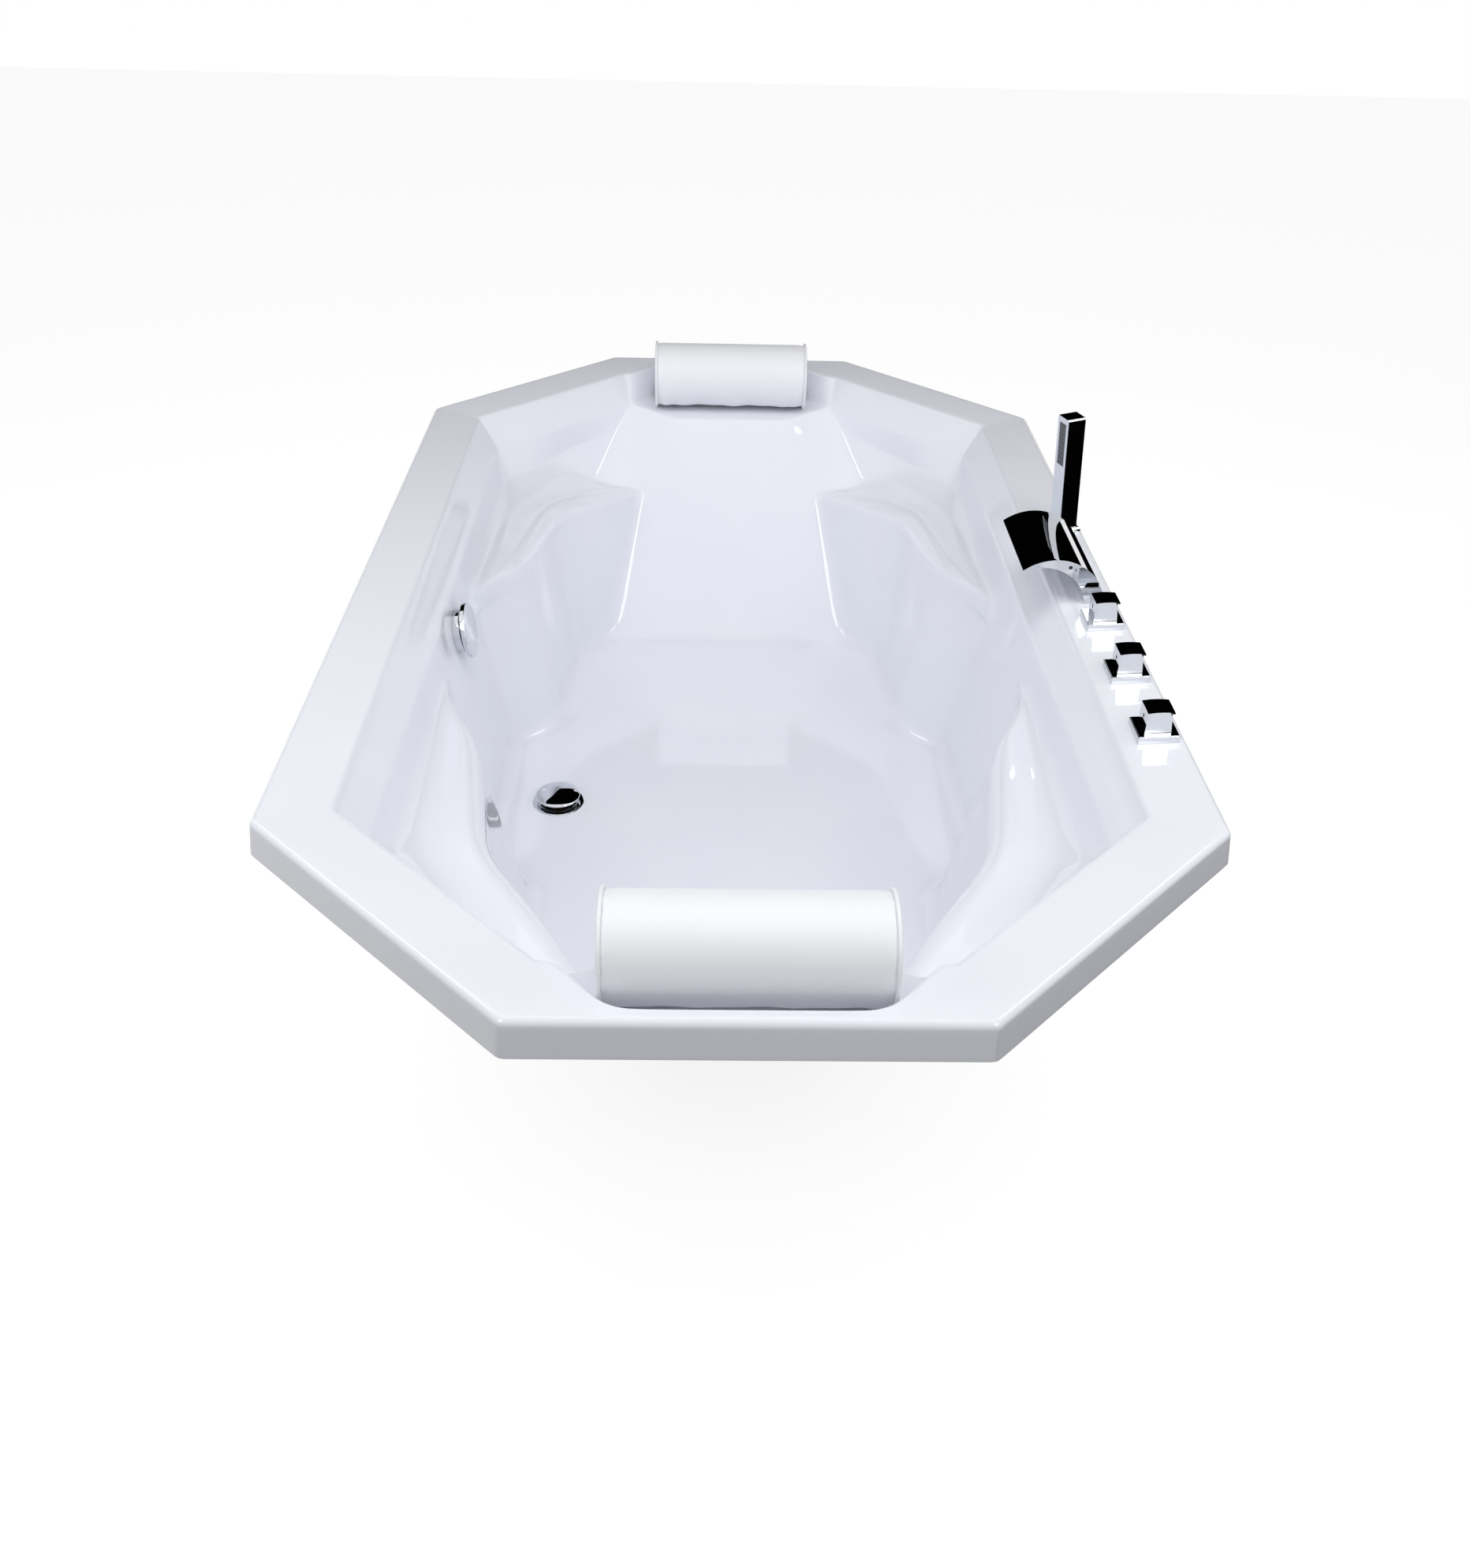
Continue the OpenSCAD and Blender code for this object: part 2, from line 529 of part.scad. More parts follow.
module overflow_body() {
    color("white") on_wall() translate([0, 0, -over_gap - 3]) difference() {
        union() {
            translate([0, 0, -4]) cylinder(r = over_body_r + 3, h = 4);
            translate([0, 0, -over_body_d]) cylinder(r = over_body_r - 2, h = over_body_d);
            translate([0, 0, -over_body_d / 2]) rotate([0, 90, 0]) cylinder(r = over_pipe_r - 1, h = over_body_r + 14);
        }
        translate([0, 0, -over_body_d + 3]) cylinder(r = over_neck_r + 1, h = over_body_d);
        translate([0, 0, -over_body_d / 2]) rotate([0, 90, 0]) cylinder(r = over_pipe_r - 4, h = over_body_r + 20);
        for (s = [-1, 1]) translate([0, s * over_screw_y, -5]) cylinder(r = over_screw_r + thread_gap, h = 8);
    }
}
module overflow_screws() {
    color("gray") on_wall() for (s = [-1, 1]) translate([0, s * over_screw_y, 0]) {
        translate([0, 0, -over_gap - 6.8]) cylinder(r = over_screw_r, h = over_gap + 6.8 + drum_h - 3);
        translate([0, 0, drum_h - 3]) cylinder(r = over_head_r, h = 2.6);
    }
}
disc_t = 7;
module overflow_knob() {
    color("silver") on_wall() {
        translate([0, 0, overflow_stand - disc_t]) rotate_extrude() polygon([[0, 0], [overflow_r - 1, 0], [overflow_r, 1],
            [overflow_r, disc_t - 1], [overflow_r - 1, disc_t], [0, disc_t]]);
        translate([0, 0, drum_h + 0.4]) cylinder(r = 14, h = overflow_stand - drum_h - disc_t / 2);
        translate([0, 0, -over_gap - 22]) cylinder(r = over_spindle_r, h = over_gap + 22 + overflow_stand - disc_t + 1);
    }
}
// Crank on the spindle's end, which pulls the plug's lifting cable
module overflow_crank() {
    color("goldenrod") on_wall() translate([0, 0, -over_gap - 21]) difference() {
        union() {
            cylinder(r = over_spindle_r + 3.5, h = 5);
            translate([0, -4, 0]) cube([17, 8, 3]);
            translate([17, 0, 0]) cylinder(r = 4, h = 3);
        }
        translate([0, 0, -1]) cylinder(r = over_spindle_r + thread_gap, h = 8);
        translate([17, 0, -1]) cylinder(r = 1.5, h = 6);
    }
}
// Pipe from the housing's branch down behind the wall and in to the waste body
branch = over_body_r + 14;
branch_z = over_gap + 3 + over_body_d / 2;
branch_x = -wall_x(-overflow_depth) - branch_z * cos(wall_tilt) - (branch + 1) * sin(wall_tilt) * -1;
over_top_z = rim_h - overflow_depth - branch_z * sin(wall_tilt) - (branch + 1) * cos(wall_tilt);
over_bend_r = 40;
inlet_x = waste_x - body_r - 2.2;
module overflow_run(r, more = 0) {
    down_x = branch_x;
    low_z = floor_z + inlet_z;
    translate([down_x, 0, low_z + over_bend_r]) cylinder(r = r, h = over_top_z + 10 + more - low_z - over_bend_r);
    translate([down_x + over_bend_r, 0, low_z + over_bend_r]) rotate([90, 0, 0]) rotate([0, 0, 180])
        pipe_bend(r, over_bend_r, 90);
    translate([down_x + over_bend_r, 0, low_z]) rotate([0, 90, 0])
        cylinder(r = r, h = inlet_x - down_x - over_bend_r + more);
}
module overflow_pipe() {
    color("white") difference() {
        overflow_run(over_pipe_r);
        overflow_run(over_pipe_r - 2.5, 1);
        on_wall() translate([0, 0, -branch_z]) rotate([0, 90, 0]) cylinder(r = over_pipe_r - 1 + thread_gap, h = branch + 0.2);
    }
}
module overflow_pipe_nut() {
    color("white") translate([waste_x - body_r - 16, 0, floor_z + inlet_z]) rotate([0, 90, 0])
        ring_nut(over_pipe_r + 3 + thread_gap, over_pipe_r + 10, 10, 2);
}

// Spout: a wide crescent that springs from the deck and overhangs the basin
spout_foot = 26.4;
arch_x = 14 - spout_r;
arch_z = -4.2;
inner_r = spout_r - 9.2;
inner_x = arch_x - 17.1;
lip_x = -98.5;
// Height of the spout's underside at a distance from its foot
function arch_under(x) = arch_z - 0.8 + sqrt(pow(inner_r, 2) - pow(x - inner_x, 2));
module spout_profile() {
    intersection() {
        difference() {
            translate([arch_x, arch_z]) circle(r = spout_r, $fn = 128);
            translate([inner_x, arch_z - 0.8]) circle(r = inner_r, $fn = 128);
        }
        translate([lip_x, 0]) square([140, 100]);
    }
}
module spout() {
    color("silver") on_deck(spout_y) difference() {
        translate([0, spout_w / 2, 0]) rotate([90, 0, 0]) linear_extrude(spout_w) spout_profile();
        translate([0, 0, -1]) cylinder(r = shank_r + thread_gap, h = 13);
        translate([lip_x + 12, -spout_w / 2 + 6, 0]) cube([2.5, spout_w - 12, arch_under(lip_x + 12) + 2.4]);
        translate([-35, -spout_w / 2 - 1, 55.5]) rotate([-90, 0, 0]) cylinder(r = 2.6, h = 8);
    }
}
module spout_shank() {
    color("goldenrod") on_deck(spout_y) {
        tube(shank_r, 6, 12 + skin + washer_t + 14, -skin - washer_t - 14);
        tube(shank_r - 1, 6, 44, -skin - washer_t - 58);
    }
}
module spout_washer() {
    color("black") on_deck(spout_y) tube(17, shank_r + 1, washer_t, -skin - washer_t);
}
module spout_nut() {
    color("goldenrod") on_deck(spout_y) ring_nut(shank_r + thread_gap, 17, 9, -skin - washer_t - 9);
}
module spout_grub() {
    color("black") on_deck(spout_y) translate([-35, -spout_w / 2 + 1.5, 55.5]) rotate([-90, 0, 0]) cylinder(r = 2.5, h = 5.4);
}

// Hand shower in its holder
holder_side = 38;
holder_t = 6;
holder_l = 62;
module at_shower() {
    on_deck(shower_y, shower_dx) rotate([0, 0, shower_turn]) children();
}
module shower_holder() {
    color("silver") at_shower() difference() {
        union() {
            hull() {
                translate([-holder_side / 2, -holder_side / 2, 0]) cube([holder_side, holder_side, holder_t - 2]);
                translate([-holder_side / 2 + 2, -holder_side / 2 + 2, 0]) cube([holder_side - 4, holder_side - 4, holder_t]);
            }
            translate([0, 0, -holder_l]) cylinder(r = sleeve_r, h = holder_l + 1);
        }
        translate([0, 0, -holder_l - 1]) cylinder(r = shower_neck_r + run_gap, h = holder_l + holder_t + 2);
    }
}
module shower_washer() {
    color("black") at_shower() tube(18.5, sleeve_r + 1, washer_t, -skin - washer_t);
}
module shower_nut() {
    color("goldenrod") at_shower() ring_nut(sleeve_r + thread_gap, 18.5, 9, -skin - washer_t - 9);
}
neck_down = 46;
strip = [18, 62, 2.4];
strip_top = 9;
module shower_body() {
    sx = shower_side[0];
    sy = shower_side[1];
    color("silver") at_shower() {
        translate([0, 0, holder_t + 0.3]) difference() {
            union() {
                translate([-sx / 2, -sy / 2, 0]) cube([sx, sy, shower_h - 4]);
                translate([-sx / 2, 0, shower_h - 4]) rotate([0, 90, 0]) linear_extrude(sx)
                    polygon([[0, -sy / 2], [-2, -sy / 2], [-4, -sy / 2 + 2], [-4, sy / 2 - 2], [-2, sy / 2], [0, sy / 2]]);
            }
            translate([-sx / 2 - 1, -strip[0] / 2, shower_h - strip_top - strip[1]]) cube([strip[2] + 1, strip[0], strip[1]]);
        }
        translate([0, 0, holder_t - neck_down]) difference() {
            cylinder(r = shower_neck_r, h = neck_down + 1);
            translate([0, 0, -1]) cylinder(r = 6, h = 21);
        }
    }
}
module shower_face() {
    rows = 9;
    cols = 3;
    color("gray") at_shower() translate([-shower_side[0] / 2, 0, holder_t + 0.3 + shower_h - strip_top - strip[1]]) {
        translate([0.4, -strip[0] / 2, 0]) cube([strip[2] - 0.4, strip[0], strip[1]]);
        for (i = [0:rows - 1], j = [0:cols - 1])
            translate([-0.4, (j - (cols - 1) / 2) * strip[0] / cols, (i + 0.5) * strip[1] / rows])
                rotate([0, 90, 0]) cylinder(r = 1.4, h = 1.2);
    }
}

// Valves under the deck, each with its base plate, spindle, handle and grub screw
valve_top = base_t - 2;
valve_drop = 96;
tail_r = 10.5;
tail_l = 30;
side_l = tap_inset - 3;
side_grip = 13;
module base_plate(y) {
    b = base_side / 2;
    color("silver") on_deck(y) difference() {
        union() {
            translate([-b, -b, 0]) cube([base_side, base_side, base_t - 1]);
            translate([-b + 1, -b + 1, 0]) cube([base_side - 2, base_side - 2, base_t]);
        }
        translate([0, 0, -1]) cylinder(r = spindle_r + 1, h = base_t + 2);
        translate([0, 0, -1]) cylinder(r = valve_r + thread_gap, h = valve_top + 1.2);
    }
}
module valve_body(y) {
    color("goldenrod") on_deck(y) difference() {
        union() {
            translate([0, 0, -60]) cylinder(r = valve_r, h = 60 + valve_top);
            translate([0, 0, -valve_drop]) cylinder(r = valve_r + 4, h = valve_drop - 50);
            translate([0, 0, -valve_drop - tail_l]) cylinder(r = tail_r, h = tail_l + 1);
            translate([0, 0, -valve_drop + 20]) rotate([0, 90, 0]) cylinder(r = tail_r + 0.5, h = side_l - side_grip);
            translate([0, 0, -valve_drop + 20]) rotate([0, 90, 0]) cylinder(r = tail_r - 1.5, h = side_l);
        }
        translate([0, 0, -40]) cylinder(r = spindle_r + run_gap, h = 60);
        translate([0, 0, -valve_drop - tail_l - 1]) cylinder(r = tail_r - 3, h = tail_l + 30);
        translate([-1, 0, -valve_drop + 20]) rotate([0, 90, 0]) cylinder(r = tail_r - 4, h = 40);
    }
}
module spindle(y) {
    color("goldenrod") on_deck(y) translate([0, 0, -38]) cylinder(r = spindle_r, h = 38 + base_t + knob_h - 8);
}
knob_gap = 0.5;
grub_r = 2.5;
grub_z = 15;
module knob_profile(s, h) {
    polygon([[-s / 2, 0], [s / 2, 0], [s / 2 - 1.2, h - 3], [-s / 2 + 1.8, h - 3]]);
    intersection() {
        translate([-s / 2 + 1.6, h - 3 - eps]) square([s + 0.8, 10]);
        translate([0, h - 3.2 * s]) circle(r = 3.2 * s, $fn = 128);
    }
}
module knob(y) {
    s = knob_side;
    color("silver") on_deck(y) translate([0, 0, base_t + knob_gap]) difference() {
        translate([0, s / 2, 0]) rotate([90, 0, 0]) linear_extrude(s) knob_profile(s, knob_h);
        translate([0, 0, -1]) cylinder(r = spindle_r + run_gap, h = knob_h - 7.3);
        translate([-s, 0, grub_z]) rotate([0, 90, 0]) cylinder(r = grub_r + thread_gap, h = s - spindle_r);
    }
}
module grub(y) {
    color("black") on_deck(y) translate([-knob_side / 2 + 3, 0, base_t + knob_gap + grub_z]) rotate([0, 90, 0])
        cylinder(r = grub_r, h = knob_side / 2 - 3 - spindle_r - run_gap);
}
module diverter_base() { base_plate(knob_y[0]); }
module diverter_valve() { valve_body(knob_y[0]); }
module diverter_spindle() { spindle(knob_y[0]); }
module diverter_knob() { knob(knob_y[0]); }
module diverter_grub() { grub(knob_y[0]); }
module hot_base() { base_plate(knob_y[1]); }
module hot_valve() { valve_body(knob_y[1]); }
module hot_spindle() { spindle(knob_y[1]); }
module hot_knob() { knob(knob_y[1]); }
module hot_grub() { grub(knob_y[1]); }
module cold_base() { base_plate(knob_y[2]); }
module cold_valve() { valve_body(knob_y[2]); }
module cold_spindle() { spindle(knob_y[2]); }
module cold_knob() { knob(knob_y[2]); }
module cold_grub() { grub(knob_y[2]); }
module valve_washers() {
    color("black") for (y = knob_y) on_deck(y) tube(valve_r + 8, valve_r + 1, washer_t, -skin - washer_t);
}
module valve_nuts() {
    color("goldenrod") for (y = knob_y) on_deck(y) ring_nut(valve_r + thread_gap, valve_r + 9, 9, -skin - washer_t - 9);
}

// Bolster pillows with a piped end, resting in the niches
pillow_y = hl - end_deck_w + niche_out - 5 - pillow_r - piping_r - 8;
pillow_z = rim_h + niche_z + pillow_r + piping_r / 2 + soft_gap + 2;
module pillow(side) {
    l = pillow_len / 2;
    color("snow") translate([0, side * pillow_y, pillow_z]) rotate([0, 90, 0]) rotate_extrude($fn = 96)
        polygon([[0, -l], [pillow_r * 0.6, -l + 0.5], [pillow_r - 5, -l + 2], [pillow_r - 1, -l + 2.2],
            [pillow_r + piping_r / 2, -l + 4], [pillow_r + piping_r / 2, -l + 6], [pillow_r - 1, -l + 8],
            [pillow_r - 0.6, -l + 20], [pillow_r, -l / 2], [pillow_r, l / 2], [pillow_r - 0.6, l - 20],
            [pillow_r - 1, l - 8], [pillow_r + piping_r / 2, l - 6], [pillow_r + piping_r / 2, l - 4],
            [pillow_r - 1, l - 2.2], [pillow_r - 5, l - 2], [pillow_r * 0.6, l - 0.5], [0, l]]);
}
module far_pillow() { pillow(1); }
module near_pillow() { pillow(-1); }

tub_shell();
floor_board();
leg_beams();
beam_screws();
foot_rods();
foot_nuts();
foot_pads();
waste_flange();
waste_gasket();
waste_body();
waste_nut();
trap();
trap_nut();
plug_cover();
plug_seal();
plug_stem();
overflow_drum();
overflow_gasket();
overflow_body();
overflow_screws();
overflow_knob();
overflow_crank();
overflow_pipe();
overflow_pipe_nut();
spout();
spout_shank();
spout_washer();
spout_nut();
spout_grub();
shower_holder();
shower_washer();
shower_nut();
shower_body();
shower_face();
diverter_base();
diverter_valve();
diverter_spindle();
diverter_knob();
diverter_grub();
hot_base();
hot_valve();
hot_spindle();
hot_knob();
hot_grub();
cold_base();
cold_valve();
cold_spindle();
cold_knob();
cold_grub();
valve_washers();
valve_nuts();
far_pillow();
near_pillow();
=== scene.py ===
import json
import math

import bmesh
import bpy
from mathutils import Matrix, Vector

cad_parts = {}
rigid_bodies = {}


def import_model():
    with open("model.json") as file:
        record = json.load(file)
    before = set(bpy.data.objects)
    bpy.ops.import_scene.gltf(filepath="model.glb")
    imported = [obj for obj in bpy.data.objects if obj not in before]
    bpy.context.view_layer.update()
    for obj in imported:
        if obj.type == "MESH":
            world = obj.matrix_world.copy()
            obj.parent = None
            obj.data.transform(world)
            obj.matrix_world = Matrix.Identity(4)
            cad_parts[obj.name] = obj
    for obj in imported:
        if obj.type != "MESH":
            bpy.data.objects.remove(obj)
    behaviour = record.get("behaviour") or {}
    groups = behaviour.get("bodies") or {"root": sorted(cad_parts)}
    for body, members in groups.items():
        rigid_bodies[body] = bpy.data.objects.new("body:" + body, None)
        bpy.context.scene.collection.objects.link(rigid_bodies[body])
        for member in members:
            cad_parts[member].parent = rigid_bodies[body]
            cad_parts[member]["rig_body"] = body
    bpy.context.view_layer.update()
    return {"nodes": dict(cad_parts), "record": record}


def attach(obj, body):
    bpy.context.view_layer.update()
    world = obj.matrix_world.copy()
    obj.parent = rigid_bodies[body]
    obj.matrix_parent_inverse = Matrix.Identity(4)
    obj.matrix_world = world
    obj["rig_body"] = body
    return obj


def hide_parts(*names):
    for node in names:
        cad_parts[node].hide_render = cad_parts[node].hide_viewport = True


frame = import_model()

scene = bpy.context.scene
scene.view_settings.view_transform = "Standard"
MM = 0.001

# Camera, fitted to the outlines of the rim, deck, crease and basin floor in the photograph
IMAGE_W = 1864
FOCAL_PX = 1838.09
SENSOR = 36.0
CAMERA_AT = Vector((-0.04426, -1.85336, 1.47771))
PITCH, YAW, ROLL = (math.radians(a) for a in (34.3325, -1.5647, 1.5117))

forward = Vector((-math.sin(YAW) * math.cos(PITCH), math.cos(YAW) * math.cos(PITCH), -math.sin(PITCH)))
level = Vector((math.cos(YAW), math.sin(YAW), 0.0))
upright = level.cross(forward)
right = math.cos(ROLL) * level + math.sin(ROLL) * upright
up = -math.sin(ROLL) * level + math.cos(ROLL) * upright
camera_data = bpy.data.cameras.new("camera")
camera_data.sensor_fit = "HORIZONTAL"
camera_data.sensor_width = SENSOR
camera_data.lens = SENSOR * FOCAL_PX / IMAGE_W
camera = bpy.data.objects.new("camera", camera_data)
scene.collection.objects.link(camera)
camera.matrix_world = Matrix((
    (right.x, up.x, -forward.x, CAMERA_AT.x),
    (right.y, up.y, -forward.y, CAMERA_AT.y),
    (right.z, up.z, -forward.z, CAMERA_AT.z),
    (0.0, 0.0, 0.0, 1.0)))
scene.camera = camera


def linear(hex_colour):
    """A colour written as sRGB hex, as the linear RGBA that a socket takes."""
    channels = [int(hex_colour[i:i + 2], 16) / 255 for i in (1, 3, 5)]
    return (*(c / 12.92 if c <= 0.04045 else ((c + 0.055) / 1.055) ** 2.4 for c in channels), 1.0)


def add(tree, kind, values=None, links=None, **settings):
    """Adds one node: settings are its own, values go on its sockets and links come into them."""
    made = tree.nodes.new("ShaderNode" + kind)
    for name, value in settings.items():
        setattr(made, name, value)
    for socket, value in (values or {}).items():
        made.inputs[socket].default_value = value
    for socket, source in (links or {}).items():
        tree.links.new(source, made.inputs[socket])
    return made


def principled(name, **sockets):
    """A material with one Principled shader, whose sockets take the given values."""
    material = bpy.data.materials.new(name)
    material.use_nodes = True
    shader = material.node_tree.nodes["Principled BSDF"]
    for socket, value in sockets.items():
        shader.inputs[socket.replace("_", " ")].default_value = value
    return material, material.node_tree, shader


def patterned(tree, shader, kind, size, colours=None, roughness=None, relief=0.0, strength=0.3, output=0, **values):
    """A pattern whose cells are about size mm wide drives a colour, a roughness range and a relief in mm."""
    place = add(tree, "TexCoord")
    pattern = add(tree, kind, {"Scale": 1000.0 / size, **values}, {"Vector": place.outputs["Object"]})
    value = pattern.outputs[output]
    if colours:
        mix = add(tree, "Mix", {"A": linear(colours[0]), "B": linear(colours[1])}, {"Factor": value}, data_type="RGBA")
        tree.links.new(mix.outputs["Result"], shader.inputs["Base Color"])
    if roughness:
        spread = add(tree, "MapRange", {"To Min": roughness[0], "To Max": roughness[1]}, {"Value": value})
        tree.links.new(spread.outputs["Result"], shader.inputs["Roughness"])
    if relief:
        bump = add(tree, "Bump", {"Strength": strength, "Distance": relief * MM}, {"Height": value})
        if shader.inputs["Normal"].links:
            tree.links.new(shader.inputs["Normal"].links[0].from_socket, bump.inputs["Normal"])
        tree.links.new(bump.outputs["Normal"], shader.inputs["Normal"])


# Cast acrylic sheet, vacuum formed: a deep gloss over a faintly blue white. The sheet draws down over the mould with
# a waviness some centimetres long, which makes straight reflections wander a little
acrylic, tree, shader = principled("vacuum_formed_acrylic", Roughness=0.05, IOR=1.49)
patterned(tree, shader, "TexNoise", 160, colours=("#EEF1F9", "#F3F4FB"), Detail=3.0)
patterned(tree, shader, "TexNoise", 45, relief=0.35, strength=0.35, Detail=1.0)

# Bright chrome plate on polished brass: mirror bright, with the faintest haze of dried water
chrome, tree, shader = principled("polished_chrome_plate", Metallic=1.0, Base_Color=linear("#DADCE0"))
patterned(tree, shader, "TexNoise", 25, roughness=(0.025, 0.06), Detail=4.0)

# Expanded vinyl on foam: a fine leather grain that softens the sheen. Its cells are 1.2 mm, as coarse as shows
vinyl, tree, shader = principled("grained_vinyl", Sheen_Weight=0.08, Base_Color=linear("#F4F5F9"))
patterned(tree, shader, "TexNoise", 30, roughness=(0.38, 0.5), Detail=2.0)
patterned(tree, shader, "TexVoronoi", 1.2, relief=0.12, strength=0.5)

# Moulded EPDM seals: dull black, slightly greyed by talc
seal_rubber, tree, shader = principled("moulded_rubber")
patterned(tree, shader, "TexNoise", 8, colours=("#151617", "#222325"), roughness=(0.5, 0.75), relief=0.05, Detail=5.0)

# Brass fittings straight from the lathe: warm, with feed marks drawn 1.5 mm apart, as coarse as shows
brass, tree, shader = principled("turned_brass", Metallic=1.0)
patterned(tree, shader, "TexWave", 3, colours=("#C6A255", "#CFAE66"), roughness=(0.2, 0.32), relief=0.03,
          Distortion=1.0)
tree.nodes["Wave Texture"].bands_direction = "Z"

# Injection-moulded polypropylene pipe: milky white with a soft sheen
pipe_plastic, tree, shader = principled("moulded_polypropylene", Subsurface_Weight=0.05, Subsurface_Scale=0.004)
patterned(tree, shader, "TexNoise", 12, colours=("#E4E5E2", "#ECEDEA"), roughness=(0.32, 0.44), relief=0.04, Detail=3.0)

# Zinc-plated steel: a grey metal mottled in patches of some millimetres
zinc, tree, shader = principled("zinc_plated_steel", Metallic=1.0)
patterned(tree, shader, "TexVoronoi", 5, colours=("#A9ADB1", "#C6CACD"), roughness=(0.28, 0.45), output="Color")

# Chipboard: pressed flakes of wood, 4 mm across, in a resin that dulls them
board, tree, shader = principled("pressed_chipboard", Roughness=0.8)
patterned(tree, shader, "TexVoronoi", 4, colours=("#9C7B4E", "#C6A878"), relief=0.2, output="Color")

# Moulded silicone spray strip: matt grey
nozzle_grey, tree, shader = principled("moulded_silicone")
patterned(tree, shader, "TexNoise", 4, colours=("#55585C", "#63666B"), roughness=(0.45, 0.6), Detail=3.0)

# Blackened steel grub screws: dark and slightly oily
dark_steel, tree, shader = principled("blackened_steel", Metallic=1.0)
patterned(tree, shader, "TexNoise", 3, colours=("#2E2F31", "#454749"), roughness=(0.28, 0.45), Detail=3.0)

# Powder-coated box section: a grey with the coat's orange peel, 2 mm between its dimples
painted, tree, shader = principled("powder_coated_steel")
patterned(tree, shader, "TexNoise", 2, colours=("#989CA1", "#A2A6AA"), roughness=(0.4, 0.55), relief=0.08, Detail=1.0)

SLOT_FINISH = {"acrylic": acrylic, "chrome": chrome, "pillow": vinyl, "seal": seal_rubber, "brass": brass,
               "white_pipe": pipe_plastic, "zinc": zinc, "board": board, "nozzles": nozzle_grey,
               "dark_steel": dark_steel, "leg_steel": painted, "foot": seal_rubber}
SLOTS = {part["node"]: part["material_slot"] for part in frame["record"]["subparts"]}
for node, slot in SLOTS.items():
    mesh = frame["nodes"][node].data
    mesh.materials.clear()
    mesh.materials.append(SLOT_FINISH[slot])

# Sizes of the moulded shell in millimetres, as the CAD part has them. Depths count from the rim's top edge
HALF_W, HALF_L, CORNER_CUT = 520.0, 915.0, 297.0
DECK_W, END_DECK_W, DECK_FALL = 84.0, 92.0, math.radians(4)
APRON_H, APRON_FLARE, LIP_R, EDGE_R, SKIN = 42.0, 4.0, 9.0, 9.0, 6.0
DEPTH, BAND_DEPTH, BAND_IN, WALL_LEAN, FLOOR_BEND = 405.0, 57.0, 28.0, 50.0, 27.0
BACK_TOP, BACK_FOOT = 168.0, 365.0
TIP_Y, FRONT_Y, ARM_CORNER, FRONT_W, CORNER_W = 150.0, 245.0, 437.0, 75.0, 111.0
BACK_HALF_W, CREST_DEPTH, ROLL_W, ROLL_H = 167.0, 117.0, 27.0, 43.0
NICHE_HALF_W, NICHE_SHOULDER, NICHE_OUT = 128.0, 54.0, 64.0
RIM_H, WASTE_X = 580.0, -268.0
# Circles of the floor's hole for the waste, and half axes of an oval that lies on the level part of the floor
WASTE_CIRCLES, FLAT_W, FLAT_L = (25.8, 27.5, 36.0), 316.0, 350.0

CREASE_W = HALF_W - DECK_W - BAND_IN
CREASE_L = HALF_L - END_DECK_W - BAND_IN - 5
ARM_X2, ARM_X3, ARM_Y3 = CREASE_W - FRONT_W, CREASE_W - CORNER_W, HALF_L - ARM_CORNER
BACK_Y0, BACK_Y1 = HALF_L - BACK_TOP, HALF_L - BACK_FOOT
BEND_Z = FLOOR_BEND - DEPTH
NICHE_X0, NICHE_X1 = NICHE_HALF_W, NICHE_HALF_W + NICHE_SHOULDER
BACK_ARM_DEPTH = CREST_DEPTH + ROLL_H + 21
NICHE_Z = -BAND_DEPTH - 3


def wall_x(z):
    """Half width of the plain wall at a depth below the rim."""
    return CREASE_W + WALL_LEAN * (z + BAND_DEPTH) / (-BEND_Z - BAND_DEPTH)


def back_y(z):
    """Distance of the back rest from the middle at a depth below the rim."""
    return BACK_Y0 + (BACK_Y0 - BACK_Y1) * (z + BAND_DEPTH) / (-BEND_Z - BAND_DEPTH)


def deck_z(inset):
    return -(inset - LIP_R) * math.tan(DECK_FALL)


def octagon(side, end, z, out=0.0):
    """Nine stations of one quarter, from the middle of a side to the middle of an end."""
    w, l = HALF_W - side, HALF_L - end
    s = HALF_W + HALF_L - CORNER_CUT - side * math.sqrt(2)
    return [Vector(p) for p in (
        (w, 0, z), (w, TIP_Y, z), (w, FRONT_Y, z), (w, s - w, z), ((w + s - l) / 2, (s - w + l) / 2, z),
        (s - l, l, z), (NICHE_X1, l, z), (NICHE_X0, l + out, z), (0, l + out, z))]


def lip(angle):
    inset = LIP_R * (1 - math.cos(angle))
    return octagon(inset, inset, -LIP_R * (1 - math.sin(angle)))


def edge(angle):
    inset = EDGE_R * math.sin(angle) - EDGE_R
    return octagon(DECK_W + inset, END_DECK_W + inset,
                   deck_z(DECK_W - EDGE_R) - EDGE_R * (1 - math.cos(angle)), NICHE_OUT)


band_foot = octagon(DECK_W + BAND_IN * 0.85, END_DECK_W + BAND_IN * 0.95, 7 - BAND_DEPTH)
for i in (7, 8):
    band_foot[i] = Vector((max(band_foot[i].x - 4, 0), HALF_L - END_DECK_W + NICHE_OUT - 5, NICHE_Z))
crease = octagon(HALF_W - CREASE_W, HALF_L - CREASE_L, -BAND_DEPTH)
crease[6:] = [Vector((NICHE_X1 - 22, CREASE_L - 2, -BAND_DEPTH)), Vector((NICHE_X0 - 18, BACK_Y0 + 5, NICHE_Z - 2)),
              Vector((0, BACK_Y0 + 5, NICHE_Z - 2))]


